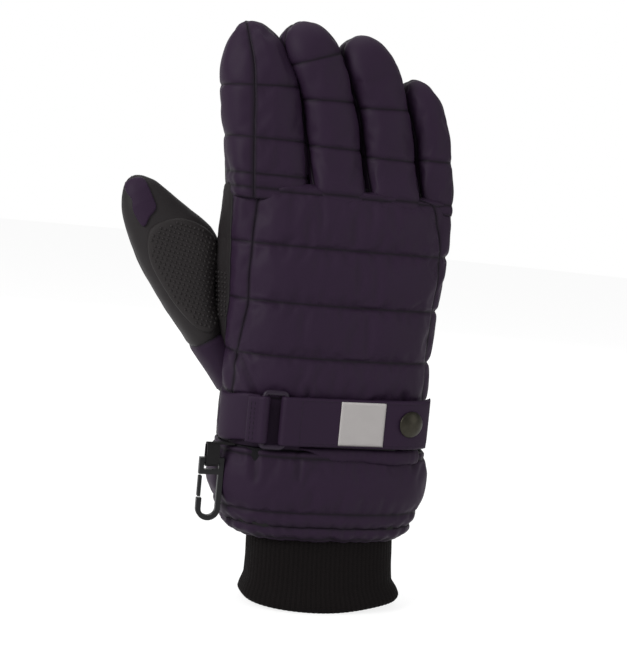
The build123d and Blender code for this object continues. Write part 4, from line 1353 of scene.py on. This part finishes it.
# ---------------------------------------------------------------- stage
class GLOVE_OT_stage(bpy.types.Operator):
    """Sets the white floor, the soft studio light and the camera"""

    bl_idname = "glove.stage"
    bl_label = "Stage"

    def execute(self, context):
        scene = context.scene
        scene.view_settings.view_transform = "Standard"
        self.camera(scene)
        self.floor()
        self.lights()
        self.world(scene)
        return {"FINISHED"}

    def camera(self, scene):
        azimuth, elevation, roll = radians(16.0), radians(6.0), radians(5.5)
        back = Vector((-sin(azimuth) * cos(elevation), -cos(azimuth) * cos(elevation), sin(elevation)))
        level = Vector((cos(azimuth), -sin(azimuth), 0))
        rising = back.cross(level)
        right = level * cos(roll) + rising * sin(roll)
        up = rising * cos(roll) - level * sin(roll)
        data = bpy.data.cameras.new("camera")
        data.sensor_fit = "HORIZONTAL"
        data.sensor_width = 36.0
        data.lens = 80.4
        data.clip_end = 20.0
        camera = bpy.data.objects.new("camera", data)
        scene.collection.objects.link(camera)
        target = Vector((-15.6, 0.0, 138.24)) * MM
        camera.matrix_world = Matrix.Translation(target + back * 0.7) @ Matrix((right, up, back)).transposed().to_4x4()
        scene.camera = camera

    def floor(self):
        bm = bmesh.new()
        bmesh.ops.create_circle(bm, cap_ends=True, segments=64, radius=4.0)
        obj = object_of(bm, "floor")
        mat = bpy.data.materials.new("white_floor")
        mat.use_nodes = True
        nodes, links = mat.node_tree.nodes, mat.node_tree.links
        shader = nodes["Principled BSDF"]
        shader.inputs["Base Color"].default_value = (0.35, 0.35, 0.35, 1.0)
        shader.inputs["Roughness"].default_value = 0.9
        shader.inputs["Specular IOR Level"].default_value = 0.0
        path = nodes.new("ShaderNodeLightPath")
        seen = math_node(nodes, links, "MAXIMUM", path.outputs["Is Camera Ray"], path.outputs["Is Glossy Ray"])
        glow = math_node(nodes, links, "MULTIPLY", seen, 0.82)
        shader.inputs["Emission Color"].default_value = (1.0, 1.0, 1.0, 1.0)
        links.new(glow, shader.inputs["Emission Strength"])
        shade(obj, mat)

    def lights(self):
        for name, place, size, power in LAMPS:
            data = bpy.data.lights.new(name, "AREA")
            data.shape = "DISK"
            data.size = size
            data.energy = power
            lamp = bpy.data.objects.new(name, data)
            bpy.context.scene.collection.objects.link(lamp)
            aim = Vector((0, 0, 0.14)) - Vector(place)
            lamp.matrix_world = Matrix.Translation(place) @ aim.to_track_quat("-Z", "Y").to_matrix().to_4x4()

    def world(self, scene):
        world = bpy.data.worlds.new("studio")
        world.use_nodes = True
        nodes, links = world.node_tree.nodes, world.node_tree.links
        background = nodes["Background"]
        background.inputs["Color"].default_value = (1.0, 1.0, 1.0, 1.0)
        path = nodes.new("ShaderNodeLightPath")
        strength = nodes.new("ShaderNodeMapRange")
        strength.inputs["To Min"].default_value = 0.4
        strength.inputs["To Max"].default_value = 1.0
        links.new(path.outputs["Is Camera Ray"], strength.inputs["Value"])
        links.new(strength.outputs["Result"], background.inputs["Strength"])
        scene.world = world


# ---------------------------------------------------------------- settings, panel and registration
class GloveSizes(bpy.types.PropertyGroup):
    """The sizes that a maker would change"""

    puff: bpy.props.FloatProperty(name="Puff", description="How far the padding stands out between seams",
                                  default=1.2 * MM, unit="LENGTH")
    fullness: bpy.props.FloatProperty(name="Fullness", description="How hard the padding presses on its cloth",
                                      default=1.0)
    wrinkling: bpy.props.FloatProperty(name="Wrinkling", description="How much looser the cloth is than its seams",
                                       default=1.0)
    settle_frames: bpy.props.IntProperty(name="Settling", description="Steps in which the cloth settles", default=14)
    rib_count: bpy.props.IntProperty(name="Ribs", description="Ribs round the knit cuff", default=86)
    rib_depth: bpy.props.FloatProperty(name="Rib depth", description="How deep the grooves between the ribs are",
                                       default=0.2 * MM, unit="LENGTH")
    dot_pitch: bpy.props.FloatProperty(name="Dot pitch", description="Distance between the dots of the grip patch",
                                       default=2.3 * MM, unit="LENGTH")


def colour_property(name, description, default):
    return bpy.props.FloatVectorProperty(name=name, description=description, subtype="COLOR", size=3, min=0.0,
                                         max=1.0, default=default)


class GloveColours(bpy.types.PropertyGroup):
    """The colours of the glove's cloth, leather and fittings"""

    shell: colour_property("Shell", "Quilted nylon", (0.0260, 0.0122, 0.0318))
    leather: colour_property("Leather", "Palm and thumb", (0.0180, 0.0150, 0.0160))
    grip: colour_property("Grip", "Textured grip patches", (0.024, 0.0205, 0.0210))
    knit: colour_property("Knit", "Rib-knit cuff", (0.0105, 0.0085, 0.0086))
    webbing: colour_property("Webbing", "Black webbing", (0.012, 0.011, 0.012))
    lining: colour_property("Lining", "Fleece lining", (0.015, 0.014, 0.016))
    label: colour_property("Label", "Blank woven label", (0.60, 0.57, 0.56))
    plastic: colour_property("Plastic", "Hanging clip", (0.011, 0.011, 0.012))
    buckle: colour_property("Buckle", "Loop buckle", (0.026, 0.0160, 0.0310))
    snap: colour_property("Snap", "Antique metal snap", (0.040, 0.037, 0.029))
    thread: colour_property("Thread", "Sewing thread", (0.020, 0.0120, 0.0250))
    wadding: colour_property("Wadding", "Insulation", (0.70, 0.69, 0.66))


STEPS = (GLOVE_OT_hand, GLOVE_OT_fingers, GLOVE_OT_thumb, GLOVE_OT_gauntlet, GLOVE_OT_knit, GLOVE_OT_strap,
         GLOVE_OT_buckle, GLOVE_OT_clip, GLOVE_OT_inside, GLOVE_OT_stage)


class GLOVE_PT_panel(bpy.types.Panel):
    """The glove's steps and settings"""

    bl_label = "Insulated glove"
    bl_idname = "GLOVE_PT_panel"
    bl_space_type = "VIEW_3D"
    bl_region_type = "UI"
    bl_category = "Glove"

    def draw(self, context):
        for group in (context.scene.glove_sizes, context.scene.glove_colours):
            for label in group.__annotations__:
                self.layout.prop(group, label)
        for step in STEPS:
            self.layout.operator(step.bl_idname)


CLASSES = (GloveSizes, GloveColours) + STEPS + (GLOVE_PT_panel,)


def register():
    for made in CLASSES:
        bpy.utils.register_class(made)
    bpy.types.Scene.glove_sizes = bpy.props.PointerProperty(type=GloveSizes)
    bpy.types.Scene.glove_colours = bpy.props.PointerProperty(type=GloveColours)


def unregister():
    del bpy.types.Scene.glove_colours
    del bpy.types.Scene.glove_sizes
    for made in reversed(CLASSES):
        bpy.utils.unregister_class(made)


def main():
    register()
    for step in STEPS:
        area, action = step.bl_idname.split(".")
        getattr(getattr(bpy.ops, area), action)()


if __name__ == "__main__":
    main()
